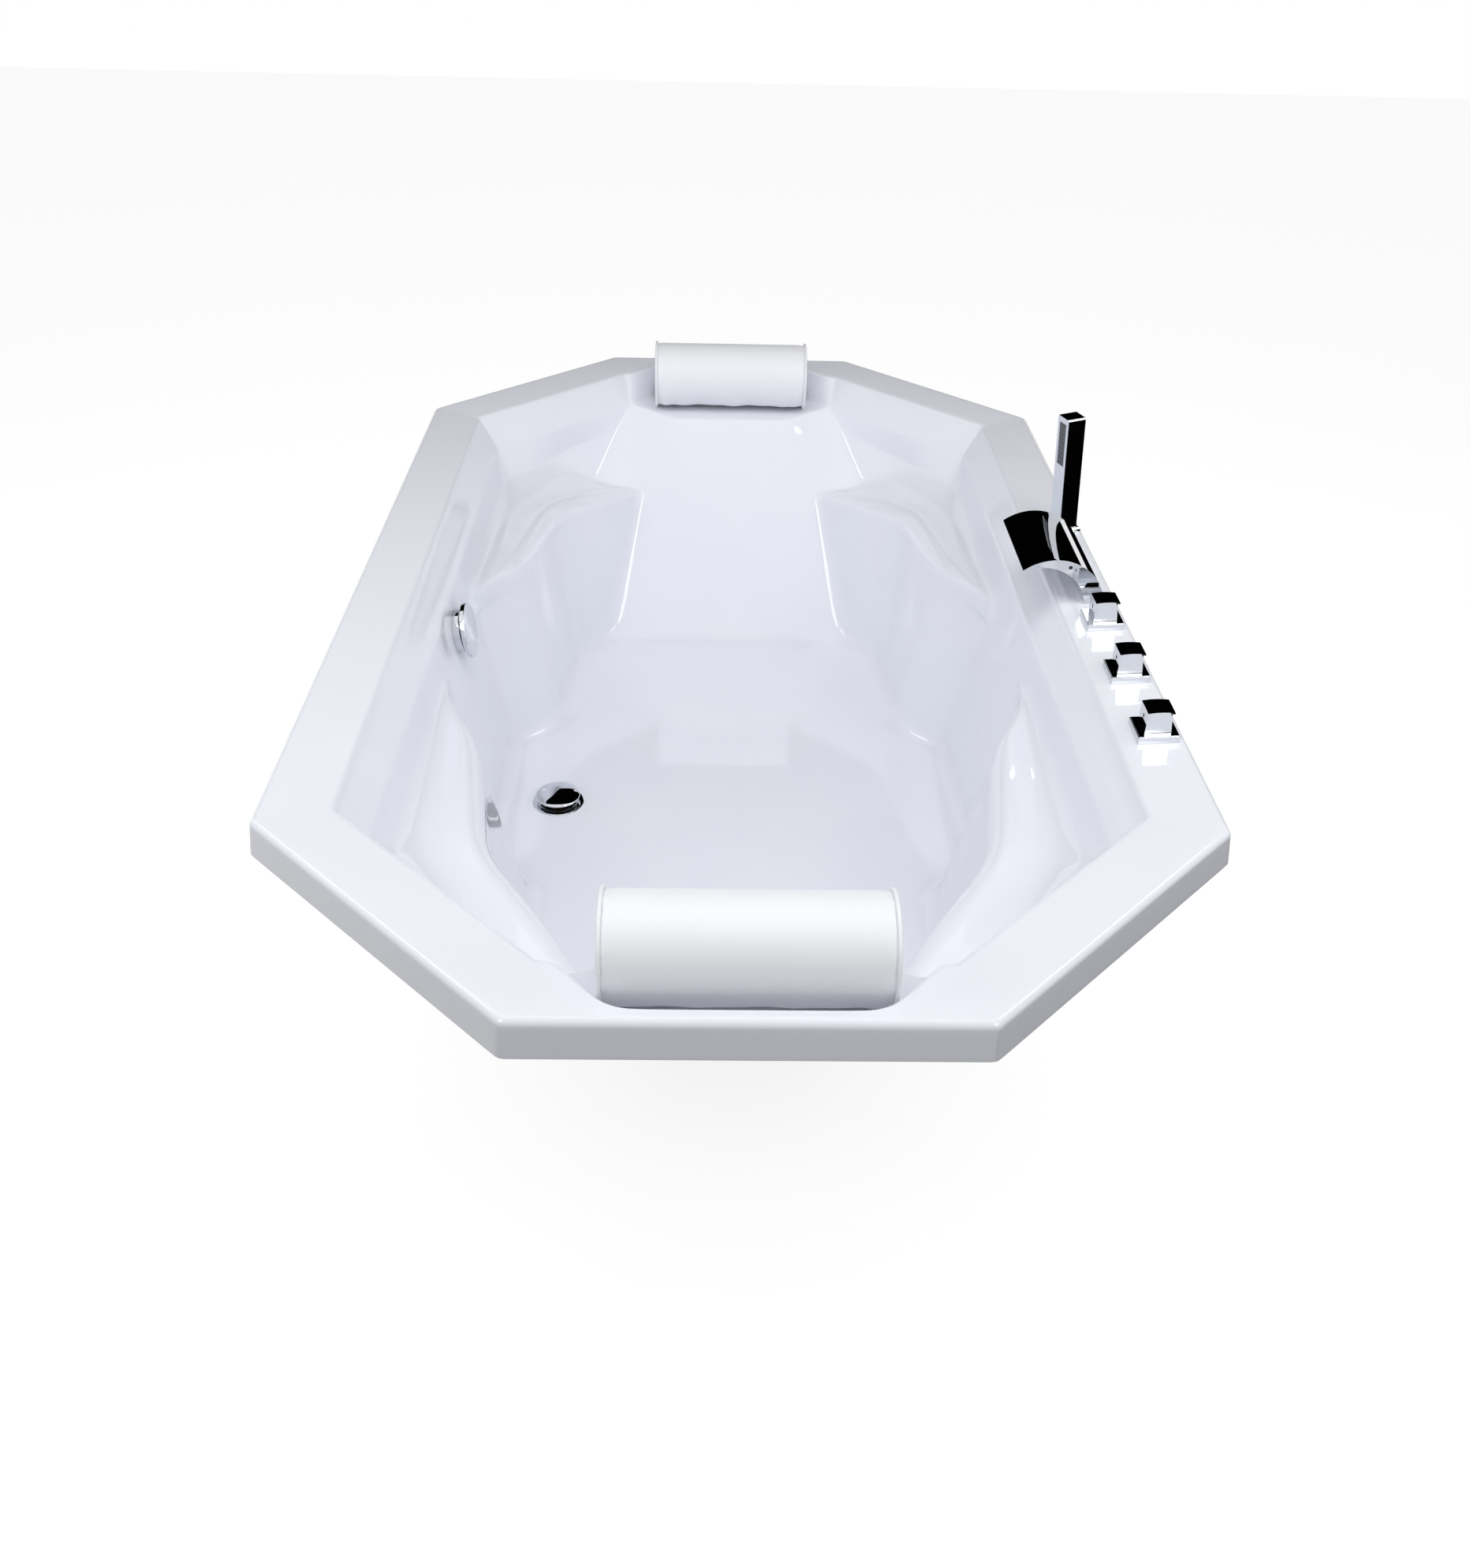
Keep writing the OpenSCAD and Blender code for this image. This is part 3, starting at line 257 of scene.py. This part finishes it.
def on_back(x, z):
    return Vector((x, back_y(z), z))


v0, v2 = 9 - CREST_DEPTH, -CREST_DEPTH - 9
valley = [Vector(p) for p in (
    (wall_x(v0), 0, v0), (wall_x(v0), TIP_Y - 30, v0), (wall_x(v2) - 4, FRONT_Y - 5, v2),
    (ARM_X3 + 80, ARM_Y3 + 14, v2 - 6), (ARM_X3 + 12, ARM_Y3 + 165, -CREST_DEPTH - 8))]
valley += [on_back(BACK_HALF_W + 83, -CREST_DEPTH - ROLL_H - 3), on_back(BACK_HALF_W - 17, -CREST_DEPTH - 25),
           on_back(NICHE_X0 - 22, -CREST_DEPTH - 20), on_back(0, -CREST_DEPTH - 20)]
brow = [p.lerp(q, 0.5) + Vector(d) for p, q, d in zip(crease, valley, (
    (0, 0, 0), (0, 0, 0), (1, 2, -5), (3, 8, -9), (4, 10, -10)))]
b0 = back_y(NICHE_Z - 6) + 4
brow += [crease[5].lerp(valley[5], 0.3), crease[6].lerp(valley[6], 0.4)]
brow += [Vector(p) for p in ((NICHE_X0 - 19, b0 + 4, NICHE_Z - 4), (0, b0 + 4, NICHE_Z - 4))]
c0 = -CREST_DEPTH - 5
crest = [Vector(p) for p in (
    (wall_x(c0), 0, c0), (wall_x(c0), TIP_Y - 5, c0), (ARM_X2 + ROLL_W, FRONT_Y - 8, -CREST_DEPTH),
    (ARM_X3 + ROLL_W, ARM_Y3 + 14, -CREST_DEPTH - 4), (ARM_X3 - 38, ARM_Y3 + 124, -CREST_DEPTH - 23))]
crest += [on_back(BACK_HALF_W + 38, -CREST_DEPTH - ROLL_H - 9), on_back(BACK_HALF_W - 28, -CREST_DEPTH - 44),
          on_back(NICHE_X0 * 0.75, -CREST_DEPTH - 45), on_back(0, -CREST_DEPTH - 45)]
f0, f5 = -CREST_DEPTH - ROLL_H, -BACK_ARM_DEPTH
face_top = [Vector(p) for p in (
    (wall_x(f0), 0, f0), (wall_x(f0), TIP_Y + 15, f0), (ARM_X2, FRONT_Y + 10, f0), (ARM_X3, ARM_Y3, f0 - 2),
    (ARM_X3 - 67, ARM_Y3 + 94, f0 - 5), (BACK_HALF_W, back_y(f5), f5), (BACK_HALF_W * 0.8, back_y(f5), f5),
    (NICHE_X0 * 0.6, back_y(f5), f5), (0, back_y(f5), f5))]
bend_top = [Vector((x, y, BEND_Z)) for x, y in (
    (wall_x(BEND_Z), 0), (wall_x(BEND_Z), TIP_Y + 10), (ARM_X2 - 43, FRONT_Y - 13), (ARM_X3 - 24, ARM_Y3 - 28),
    (ARM_X3 - 54, ARM_Y3 + 27), (BACK_HALF_W + 45, BACK_Y1), (BACK_HALF_W - 10, BACK_Y1), (NICHE_X0 * 0.65, BACK_Y1),
    (0, BACK_Y1))]
OUTWARD = [Vector((1, 0, 0))] * 3 + [Vector((math.cos(a), math.sin(a), 0)) for a in map(math.radians, (22.5, 45, 67.5))]
OUTWARD += [Vector((0, 1, 0))] * 3


def moved(ring, outward, rise):
    return [p + d * outward + Vector((0, 0, rise)) for p, d in zip(ring, OUTWARD)]


def between(a, b, across, down):
    return [Vector((p.x + (q.x - p.x) * across, p.y + (q.y - p.y) * across, p.z + (q.z - p.z) * down))
            for p, q in zip(a, b)]


def plain_wall(flat, formed):
    """The plain wall's two stations stay on its flat sheet."""
    return flat[:2] + formed[2:]


floor_edge = moved([Vector((p.x, p.y, -DEPTH)) for p in bend_top], -FLOOR_BEND * 0.85, 0)


def roll(angle):
    down = 1 - math.cos(angle)
    flat, formed = between(crest, face_top, down, down), between(crest, face_top, math.sin(angle), down)
    return flat[:2] + formed[2:5] + [Vector((q.x, p.y, p.z)) for p, q in zip(flat[5:], formed[5:])]


def bend(angle):
    return between(bend_top, floor_edge, 1 - math.cos(angle), math.sin(angle))


# Where the walls would meet the floor in a corner, and how far the rounding reaches from it at each station
foot = [q.lerp(p, (DEPTH + q.z) / (q.z - BEND_Z)) for p, q in zip(bend_top, face_top)]
FOOT_REACH = (32, 32, 34, 36, 38, 42, 50, 50, 50)


def foot_round(t):
    """The rounded foot of the walls, from the floor at 0 to the wall at 1."""
    return [(p - d * r) * (1 - t) ** 2 + p * 2 * t * (1 - t) + p.lerp(q, r / (q - p).length) * t * t
            for p, q, d, r in zip(foot, face_top, OUTWARD, FOOT_REACH)]


def under(ring, outward, rise):
    return plain_wall(moved(ring, SKIN, -SKIN), moved(ring, outward, rise))


def shrunk(ring, inset):
    return [Vector((max(p.x - inset, 0) if i < 8 else 0, max(p.y - inset, 0) if i else 0, p.z))
            for i, p in enumerate(ring)]


# Rings of the skin from the floor's edge up over the rim and back under it. Each has how far its rounding reaches up
# and down the profile, and how far it reaches along the outline at the seven stations between the first and the last
TURN_RIM = (0, 0, 6, 0, 6, 0, 0)
TURN_EDGE = (0, 0, 5, 0, 5, 26, 26)
TURN_BAND = (0, 0, 5, 0, 5, 22, 22)
TURN_BROW = (0, 20, 25, 35, 12, 14, 14)
TURN_VALLEY = (30, 40, 45, 45, 14, 14, 14)
TURN_CREST = (45, 45, 45, 50, 14, 14, 14)
TURN_FACE = (28, 38, 38, 30, 18, 0, 0)
TURN_FLOOR = (24, 36, 36, 24, 30, 0, 0)
arc = [math.radians(15 * k) for k in range(7)]
profile = [(foot_round(k / 7), 0, TURN_FLOOR) for k in range(8)]
profile += [(face_top, 24, TURN_FACE)]
profile += [(roll(a), 0, TURN_CREST) for a in reversed(arc[1:-1])]
profile += [(crest, 8, TURN_CREST), (valley, 24, TURN_VALLEY), (brow, 7, TURN_BROW), (crease, 8, TURN_BAND),
            (band_foot, 8, TURN_BAND)]
profile += [(edge(a), 0, TURN_EDGE) for a in reversed(arc)]
profile += [(lip(a), 0, TURN_RIM) for a in reversed(arc)]
profile += [(octagon(-APRON_FLARE, -APRON_FLARE, -APRON_H), 0.8, TURN_RIM),
            (octagon(SKIN - APRON_FLARE, SKIN - APRON_FLARE, -APRON_H), 0.8, TURN_RIM),
            (octagon(SKIN, SKIN, -LIP_R - 1), 1, TURN_RIM), (octagon(LIP_R, LIP_R, -SKIN), 2, TURN_RIM),
            (octagon(DECK_W - SKIN, END_DECK_W - SKIN, deck_z(DECK_W - SKIN) - SKIN, NICHE_OUT), 6, TURN_EDGE),
            (moved(band_foot, SKIN, -SKIN), 8, TURN_BAND), (moved(crease, SKIN, -SKIN), 8, TURN_BAND),
            (moved(brow, SKIN, -SKIN), 12, TURN_BROW), (moved(valley, SKIN, -SKIN), 24, TURN_VALLEY),
            (under(crest, SKIN / 2, -SKIN), 8, TURN_CREST),
            (under(face_top, SKIN, -SKIN / 2), 24, TURN_FACE), (under(bend_top, SKIN, -SKIN / 2), 4, TURN_FLOOR),
            (moved(bend(math.radians(45)), SKIN * 0.7, -SKIN * 0.7), 6, TURN_FLOOR),
            (moved(floor_edge, SKIN / 2, -SKIN), 4, TURN_FLOOR),
            (moved(shrunk(floor_edge, 14), SKIN / 2, -SKIN), 0, TURN_FLOOR)]


def rounded(before, corner, after, reach, count):
    """Points of a curve that cuts a corner, starting and ending at most reach away from it."""
    back, ahead = before - corner, after - corner
    start = corner + back * min(reach / max(back.length, 1e-6), 0.48)
    end = corner + ahead * min(reach / max(ahead.length, 1e-6), 0.48)
    steps = [k / (count - 1) for k in range(count)]
    return [start * (1 - t) ** 2 + corner * 2 * t * (1 - t) + end * t * t for t in steps]


# Points added on the straight line before each station, and the least rounding at it, which keeps its points apart
EXTRA = (1, 1, 4, 2, 2, 1, 2, 1)
LEAST_TURN = 4


def outline(quarter, turns):
    """The whole ring: a quarter with rounded stations, mirrored to the other three."""
    curves = [[quarter[0]]]
    for k in range(1, 8):
        curves.append(rounded(quarter[k - 1], quarter[k], quarter[k + 1], max(turns[k - 1], LEAST_TURN), 5))
    curves.append([quarter[8]])
    points = []
    for k, curve in enumerate(curves):
        if k:
            start, end = curves[k - 1][-1], curve[0]
            points += [start.lerp(end, (i + 1) / (EXTRA[k - 1] + 1)) for i in range(EXTRA[k - 1])]
        points += curve
    first, rest = points, points[-2:0:-1]
    ring = first + [Vector((-p.x, p.y, p.z)) for p in points[-2::-1]]
    ring += [Vector((-p.x, -p.y, p.z)) for p in points[1:]]
    ring += [Vector((p.x, -p.y, p.z)) for p in rest]
    return ring


def shell_rings():
    rings = []
    for k, (ring, reach, turns) in enumerate(profile):
        if reach and 0 < k < len(profile) - 1:
            columns = [rounded(profile[k - 1][0][i], ring[i], profile[k + 1][0][i], reach, 4) for i in range(9)]
            rings += [outline([column[j] for column in columns], turns) for j in range(4)]
        else:
            rings.append(outline(ring, turns))
    return rings


def flat(ring):
    """Circles round the waste and an oval round them, which lead over the level floor to a ring at its edge."""
    centre = Vector((WASTE_X, 0, ring[0].z))
    turns = [math.atan2(p.y / FLAT_L, p.x / FLAT_W) for p in ring]
    oval = [Vector((FLAT_W * math.cos(a), FLAT_L * math.sin(a), centre.z)) for a in turns]
    return [[centre + (p - centre).normalized() * radius for p in oval] for radius in WASTE_CIRCLES] + [oval]


def lofted(rings):
    """A skin closed into a loop: the first ring is drawn, then extruded and set to each next ring."""
    form = bmesh.new()
    loop = [form.verts.new(p) for p in rings[0]]
    edges = [form.edges.new((loop[i - 1], loop[i])) for i in range(len(loop))]
    first = list(edges)
    for ring in rings[1:]:
        grown = bmesh.ops.extrude_edge_only(form, edges=edges)["geom"]
        new = {v for v in grown if isinstance(v, bmesh.types.BMVert)}
        order = {v: i for i, v in enumerate(loop)}
        pairs = {order[e.other_vert(v)]: v for v in new for e in v.link_edges if e.other_vert(v) in order}
        loop = [pairs[i] for i in range(len(ring))]
        for v, p in zip(loop, ring):
            v.co = p
        edges = [e for e in grown if isinstance(e, bmesh.types.BMEdge) and set(e.verts) <= new]
    bmesh.ops.bridge_loops(form, edges=first + edges)
    bmesh.ops.recalc_face_normals(form, faces=form.faces)
    return form


def piece(name, form, body, material, replaced=(), sharp=40):
    """Makes a shape one object that rides on a body and stands for the CAD nodes it replaces."""
    mesh = bpy.data.meshes.new(name)
    form.to_mesh(mesh)
    form.free()
    mesh.shade_smooth()
    mesh.set_sharp_from_angle(angle=math.radians(sharp))
    made = bpy.data.objects.new(name, mesh)
    scene.collection.objects.link(made)
    mesh.materials.append(material)
    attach(made, body)
    if replaced:
        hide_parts(*replaced)
    return made


rings = shell_rings()
form = lofted(flat(rings[0]) + rings + flat(rings[-1])[::-1])
bmesh.ops.translate(form, verts=form.verts, vec=(0, 0, RIM_H))
bmesh.ops.scale(form, verts=form.verts, vec=(MM, MM, MM))
shell = piece("moulded_shell", form, "tub", acrylic, ("tub_shell",))
smooth = shell.modifiers.new("smooth", "SUBSURF")
smooth.levels = smooth.render_levels = 1


def softened(node, width, sharp=30):
    """A merged copy of a CAD node whose arrises are rounded off, as polishing leaves them."""
    source = frame["nodes"][node]
    form = bmesh.new()
    form.from_mesh(source.data)
    bmesh.ops.remove_doubles(form, verts=form.verts, dist=1e-6)
    bmesh.ops.dissolve_limit(form, angle_limit=math.radians(0.5), verts=form.verts, edges=form.edges)
    arrises = [e for e in form.edges if e.is_manifold and e.calc_face_angle(0) > math.radians(sharp)]
    bmesh.ops.bevel(form, geom=arrises, offset=width * MM, offset_type="OFFSET", affect="EDGES", segments=3,
                    profile=0.5, material=-1, clamp_overlap=True)
    slot = SLOTS[node]
    made = piece("polished_" + node, form, source["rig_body"], SLOT_FINISH[slot], (node,), sharp)
    weighted = made.modifiers.new("even_shading", "WEIGHTED_NORMAL")
    weighted.keep_sharp = True
    return made


for node, width in (("diverter_knob", 0.7), ("diverter_base", 0.7), ("hot_knob", 0.7), ("hot_base", 0.7),
                    ("cold_knob", 0.7), ("cold_base", 0.7), ("spout", 0.6), ("shower_body", 0.7),
                    ("shower_holder", 0.5), ("waste_flange", 0.3), ("overflow_drum", 0.4), ("overflow_knob", 0.5)):
    softened(node, width)

# Plug: a domed cap spun from its section. It stands open, raised over the flange's dish and its own seal
PLUG_R, PLUG_RAISED, DISH_H, SEAL_GAP, SEAL_H = 34.0, 8.0, 0.9, 0.3, 2.0
PLUG_AT = RIM_H - DEPTH + PLUG_RAISED + DISH_H + SEAL_GAP + SEAL_H
section = [(0, 0), (PLUG_R - 1, 0), (PLUG_R - 0.3, 0.3), (PLUG_R, 1), (PLUG_R, 2.2), (PLUG_R - 0.3, 2.9),
           (PLUG_R - 1, 3.25)]
section += [((PLUG_R - 1) * t, 3.2 + 4.2 * (1 - t ** 2.4)) for t in (0.93, 0.85, 0.75, 0.62, 0.48, 0.32, 0.16, 0.06, 0)]
form = bmesh.new()
points = [form.verts.new((WASTE_X * MM + r * MM, 0, (PLUG_AT + z) * MM)) for r, z in section]
edges = [form.edges.new(pair) for pair in zip(points, points[1:])]
bmesh.ops.spin(form, geom=points + edges, cent=(WASTE_X * MM, 0, 0), axis=(0, 0, 1), angle=2 * math.pi, steps=96,
               use_merge=True, use_duplicate=False)
bmesh.ops.remove_doubles(form, verts=form.verts, dist=0.01 * MM)
bmesh.ops.recalc_face_normals(form, faces=form.faces)
piece("domed_plug", form, "plug", chrome, ("plug_cover",), 60)

# Bolster pillows: a stuffed cover that swells between two piped ends. Their axis is where the CAD part has it
PILLOW_R, PILLOW_LEN, PIPING_R = 57.0, 284.0, 2.2
PILLOW_Y = HALF_L - END_DECK_W + NICHE_OUT - 5 - PILLOW_R - 11
PILLOW_Z = 580.9
SEAM_X = PILLOW_LEN / 2 - 5
COVER_VOXEL, COVER_FRAMES, MOST_SWELL = 5.0, 20, 5.0


def applied(made):
    """Puts the shape that an object's modifiers give into its own mesh."""
    shown = bpy.context.evaluated_depsgraph_get()
    shown.update()
    mesh = bpy.data.meshes.new_from_object(made.evaluated_get(shown), depsgraph=shown)
    made.modifiers.clear()
    made.data = mesh


def stuffed(form, travel):
    """Swells a closed form as a stuffed cover held by its end seams, no point further than travel."""
    mesh = bpy.data.meshes.new("cover")
    form.to_mesh(mesh)
    form.free()
    made = bpy.data.objects.new("cover", mesh)
    scene.collection.objects.link(made)
    even = made.modifiers.new("even", "REMESH")
    even.mode, even.voxel_size = "VOXEL", COVER_VOXEL * MM
    applied(made)
    start = [v.co.copy() for v in made.data.vertices]
    held = made.vertex_groups.new(name="seams")
    held.add([i for i, p in enumerate(start) if abs(abs(p.x) - SEAM_X * MM) < 4 * MM and
              math.hypot(p.y, p.z) > (PILLOW_R - 6) * MM], 1.0, "REPLACE")
    cloth = made.modifiers.new("cloth", "CLOTH").settings
    cloth.quality, cloth.mass = 6, 0.3
    cloth.tension_stiffness = cloth.compression_stiffness = cloth.shear_stiffness = 8
    cloth.bending_stiffness = 0.3
    cloth.use_pressure, cloth.uniform_pressure_force = True, 4
    cloth.vertex_group_mass = "seams"
    cloth.effector_weights.gravity = 0
    for step in range(COVER_FRAMES):
        scene.frame_set(step + 1)
    applied(made)
    scene.frame_set(1)
    for v, p in zip(made.data.vertices, start):
        if (v.co - p).length > travel * MM:
            v.co = p + (v.co - p).normalized() * travel * MM
    fine = made.modifiers.new("fine", "SUBSURF")
    fine.levels = fine.render_levels = 1
    applied(made)
    form = bmesh.new()
    form.from_mesh(made.data)
    bpy.data.objects.remove(made)
    return form


def bolster(name, side, node):
    """A pillow at one end of the tub, in place of a CAD node: its cover, folds, seam grooves and piping."""
    form = bmesh.new()
    radius = (PILLOW_R - 1.5) * MM
    bmesh.ops.create_cone(form, cap_ends=True, segments=96, radius1=radius, radius2=radius, depth=(2 * SEAM_X + 1) * MM,
                          matrix=Matrix.Rotation(math.radians(90), 4, "Y"))
    form = stuffed(form, MOST_SWELL)
    for v in form.verts:
        # The cover is slack below: shallow folds run across it, and it sags a little beside both end seams
        x, around = v.co.x / MM, math.atan2(v.co.y * -side, -v.co.z)
        inner = max(0.0, 1 - (abs(x) / (SEAM_X + 1)) ** 10)
        slack = max(0.0, math.cos(around - 0.7 * (side > 0))) ** 3 * inner
        fold = 1.1 * math.sin(x / 15 + 1.6 * around + side) + 0.7 * math.sin(x / 7.3 - 1.7 * around + 1.0)
        sag = 2.4 * math.exp(-((abs(x) - SEAM_X + 16) / 9) ** 2)
        seam = 0.9 * math.exp(-((abs(x) - SEAM_X + 7) / 1.8) ** 2)
        radial = Vector((0, v.co.y, v.co.z))
        if radial.length > 0.7 * radius:
            v.co += radial.normalized() * (slack * (fold + sag) - seam) * MM
    for end in (-1, 1):
        at = Matrix.Translation((end * SEAM_X * MM, 0, (PILLOW_R - 0.6) * MM))
        made = bmesh.ops.create_circle(form, cap_ends=False, segments=12, radius=PIPING_R * MM,
                                       matrix=at @ Matrix.Rotation(math.radians(90), 4, "X"))
        ring = made["verts"] + list({e for v in made["verts"] for e in v.link_edges})
        bmesh.ops.spin(form, geom=ring, cent=(0, 0, 0), axis=(1, 0, 0), angle=2 * math.pi, steps=96, use_merge=True,
                       use_duplicate=False)
    bmesh.ops.translate(form, verts=form.verts, vec=(0, side * PILLOW_Y * MM, PILLOW_Z * MM))
    bmesh.ops.recalc_face_normals(form, faces=form.faces)
    made = piece(name, form, "tub", vinyl, (node,), 180)


bolster("far_bolster", 1, "far_pillow")
bolster("near_bolster", -1, "near_pillow")

# Studio: a pale floor and a white world. Camera, glossy and transmission rays see them brighter than they light
FLOOR_HALF, FLOOR_DROP, FLOOR_SEEN, WORLD_LIGHT = 8.0, 0.0005, 0.85, 0.31


def by_ray(tree, lighting, seen):
    """A value that is one thing for the rays that see a surface and another for those that light others."""
    path = add(tree, "LightPath")
    total = add(tree, "Math", links={0: path.outputs["Is Camera Ray"], 1: path.outputs["Is Glossy Ray"]},
                operation="ADD")
    total = add(tree, "Math", links={0: total.outputs[0], 1: path.outputs["Is Transmission Ray"]}, operation="ADD")
    return add(tree, "MapRange", {"To Min": lighting, "To Max": seen}, {"Value": total.outputs[0]}).outputs["Result"]


form = bmesh.new()
bmesh.ops.create_grid(form, x_segments=1, y_segments=1, size=FLOOR_HALF)
floor_mesh = bpy.data.meshes.new("floor")
form.to_mesh(floor_mesh)
form.free()
floor = bpy.data.objects.new("floor", floor_mesh)
scene.collection.objects.link(floor)
floor.location.z = -FLOOR_DROP
studio_white, tree, shader = principled("studio_floor", Roughness=0.9, Specular_IOR_Level=0.0,
                                        Base_Color=linear("#9A9A9A"), Emission_Color=linear("#FFFFFF"))
tree.links.new(by_ray(tree, 0.0, FLOOR_SEEN), shader.inputs["Emission Strength"])
floor_mesh.materials.append(studio_white)

world = bpy.data.worlds.new("studio")
scene.world = world
world.use_nodes = True
background = world.node_tree.nodes["Background"]
background.inputs["Color"].default_value = linear("#FFFFFF")
world.node_tree.links.new(by_ray(world.node_tree, WORLD_LIGHT, 1.0), background.inputs["Strength"])


def lamp(name, at, target, width, height, watts):
    """A rectangular lamp that faces a target."""
    data = bpy.data.lights.new(name, "AREA")
    data.shape = "RECTANGLE"
    data.size, data.size_y, data.energy = width, height, watts
    made = bpy.data.objects.new(name, data)
    scene.collection.objects.link(made)
    made.location = at
    made.rotation_euler = (Vector(target) - Vector(at)).to_track_quat("-Z", "Y").to_euler()
    return made


overhead = lamp("overhead", (0, -0.9, 3.0), (0, -0.9, 0), 2.2, 1.5, 32)
overhead.visible_glossy = False
for side, name in ((-1, "left"), (1, "right")):
    lamp("softbox_" + name, (side * 1.3, -1.6, 2.3), (0, 0.2, 0.4), 0.4, 1.0, 6.5)
    low = lamp("low_softbox_" + name, (side * 1.55, -0.35, 1.35), (0, 0.3, 0.4), 0.6, 1.2, 5)
    low.visible_glossy = False
    # Two strips light nothing: they show as the bright lines that the photograph has on the basin's upright corners
    lower = lamp("lower_strip_" + name, (side * 1.12, -1.64, 1.71), (side * -0.2, 0.65, 0.3), 0.8, 0.35, 4.5)
    upper = lamp("upper_strip_" + name, (side * 1.2, -0.1, 1.67), (side * -0.22, 0.72, 0.52), 0.8, 0.22, 5)
    lower.visible_diffuse = upper.visible_diffuse = False

# Black cards outside the picture, which the chrome mirrors
card_black, tree, shader = principled("black_card", Roughness=1.0, Specular_IOR_Level=0.0,
                                      Base_Color=linear("#040404"))


def card(name, corners):
    """A card that is seen in reflections only."""
    form = bmesh.new()
    form.faces.new([form.verts.new(p) for p in corners])
    mesh = bpy.data.meshes.new(name)
    form.to_mesh(mesh)
    form.free()
    mesh.materials.append(card_black)
    made = bpy.data.objects.new(name, mesh)
    scene.collection.objects.link(made)
    made.visible_camera = made.visible_diffuse = made.visible_shadow = False


card("card_far", ((-3.0, 2.4, 0.75), (3.0, 2.4, 0.75), (3.0, 1.6, 3.6), (-3.0, 1.6, 3.6)))
card("card_right", ((0.75, -1.6, 0.02), (4.0, -1.6, 0.02), (4.0, 5.0, 0.02), (0.75, 5.0, 0.02)))
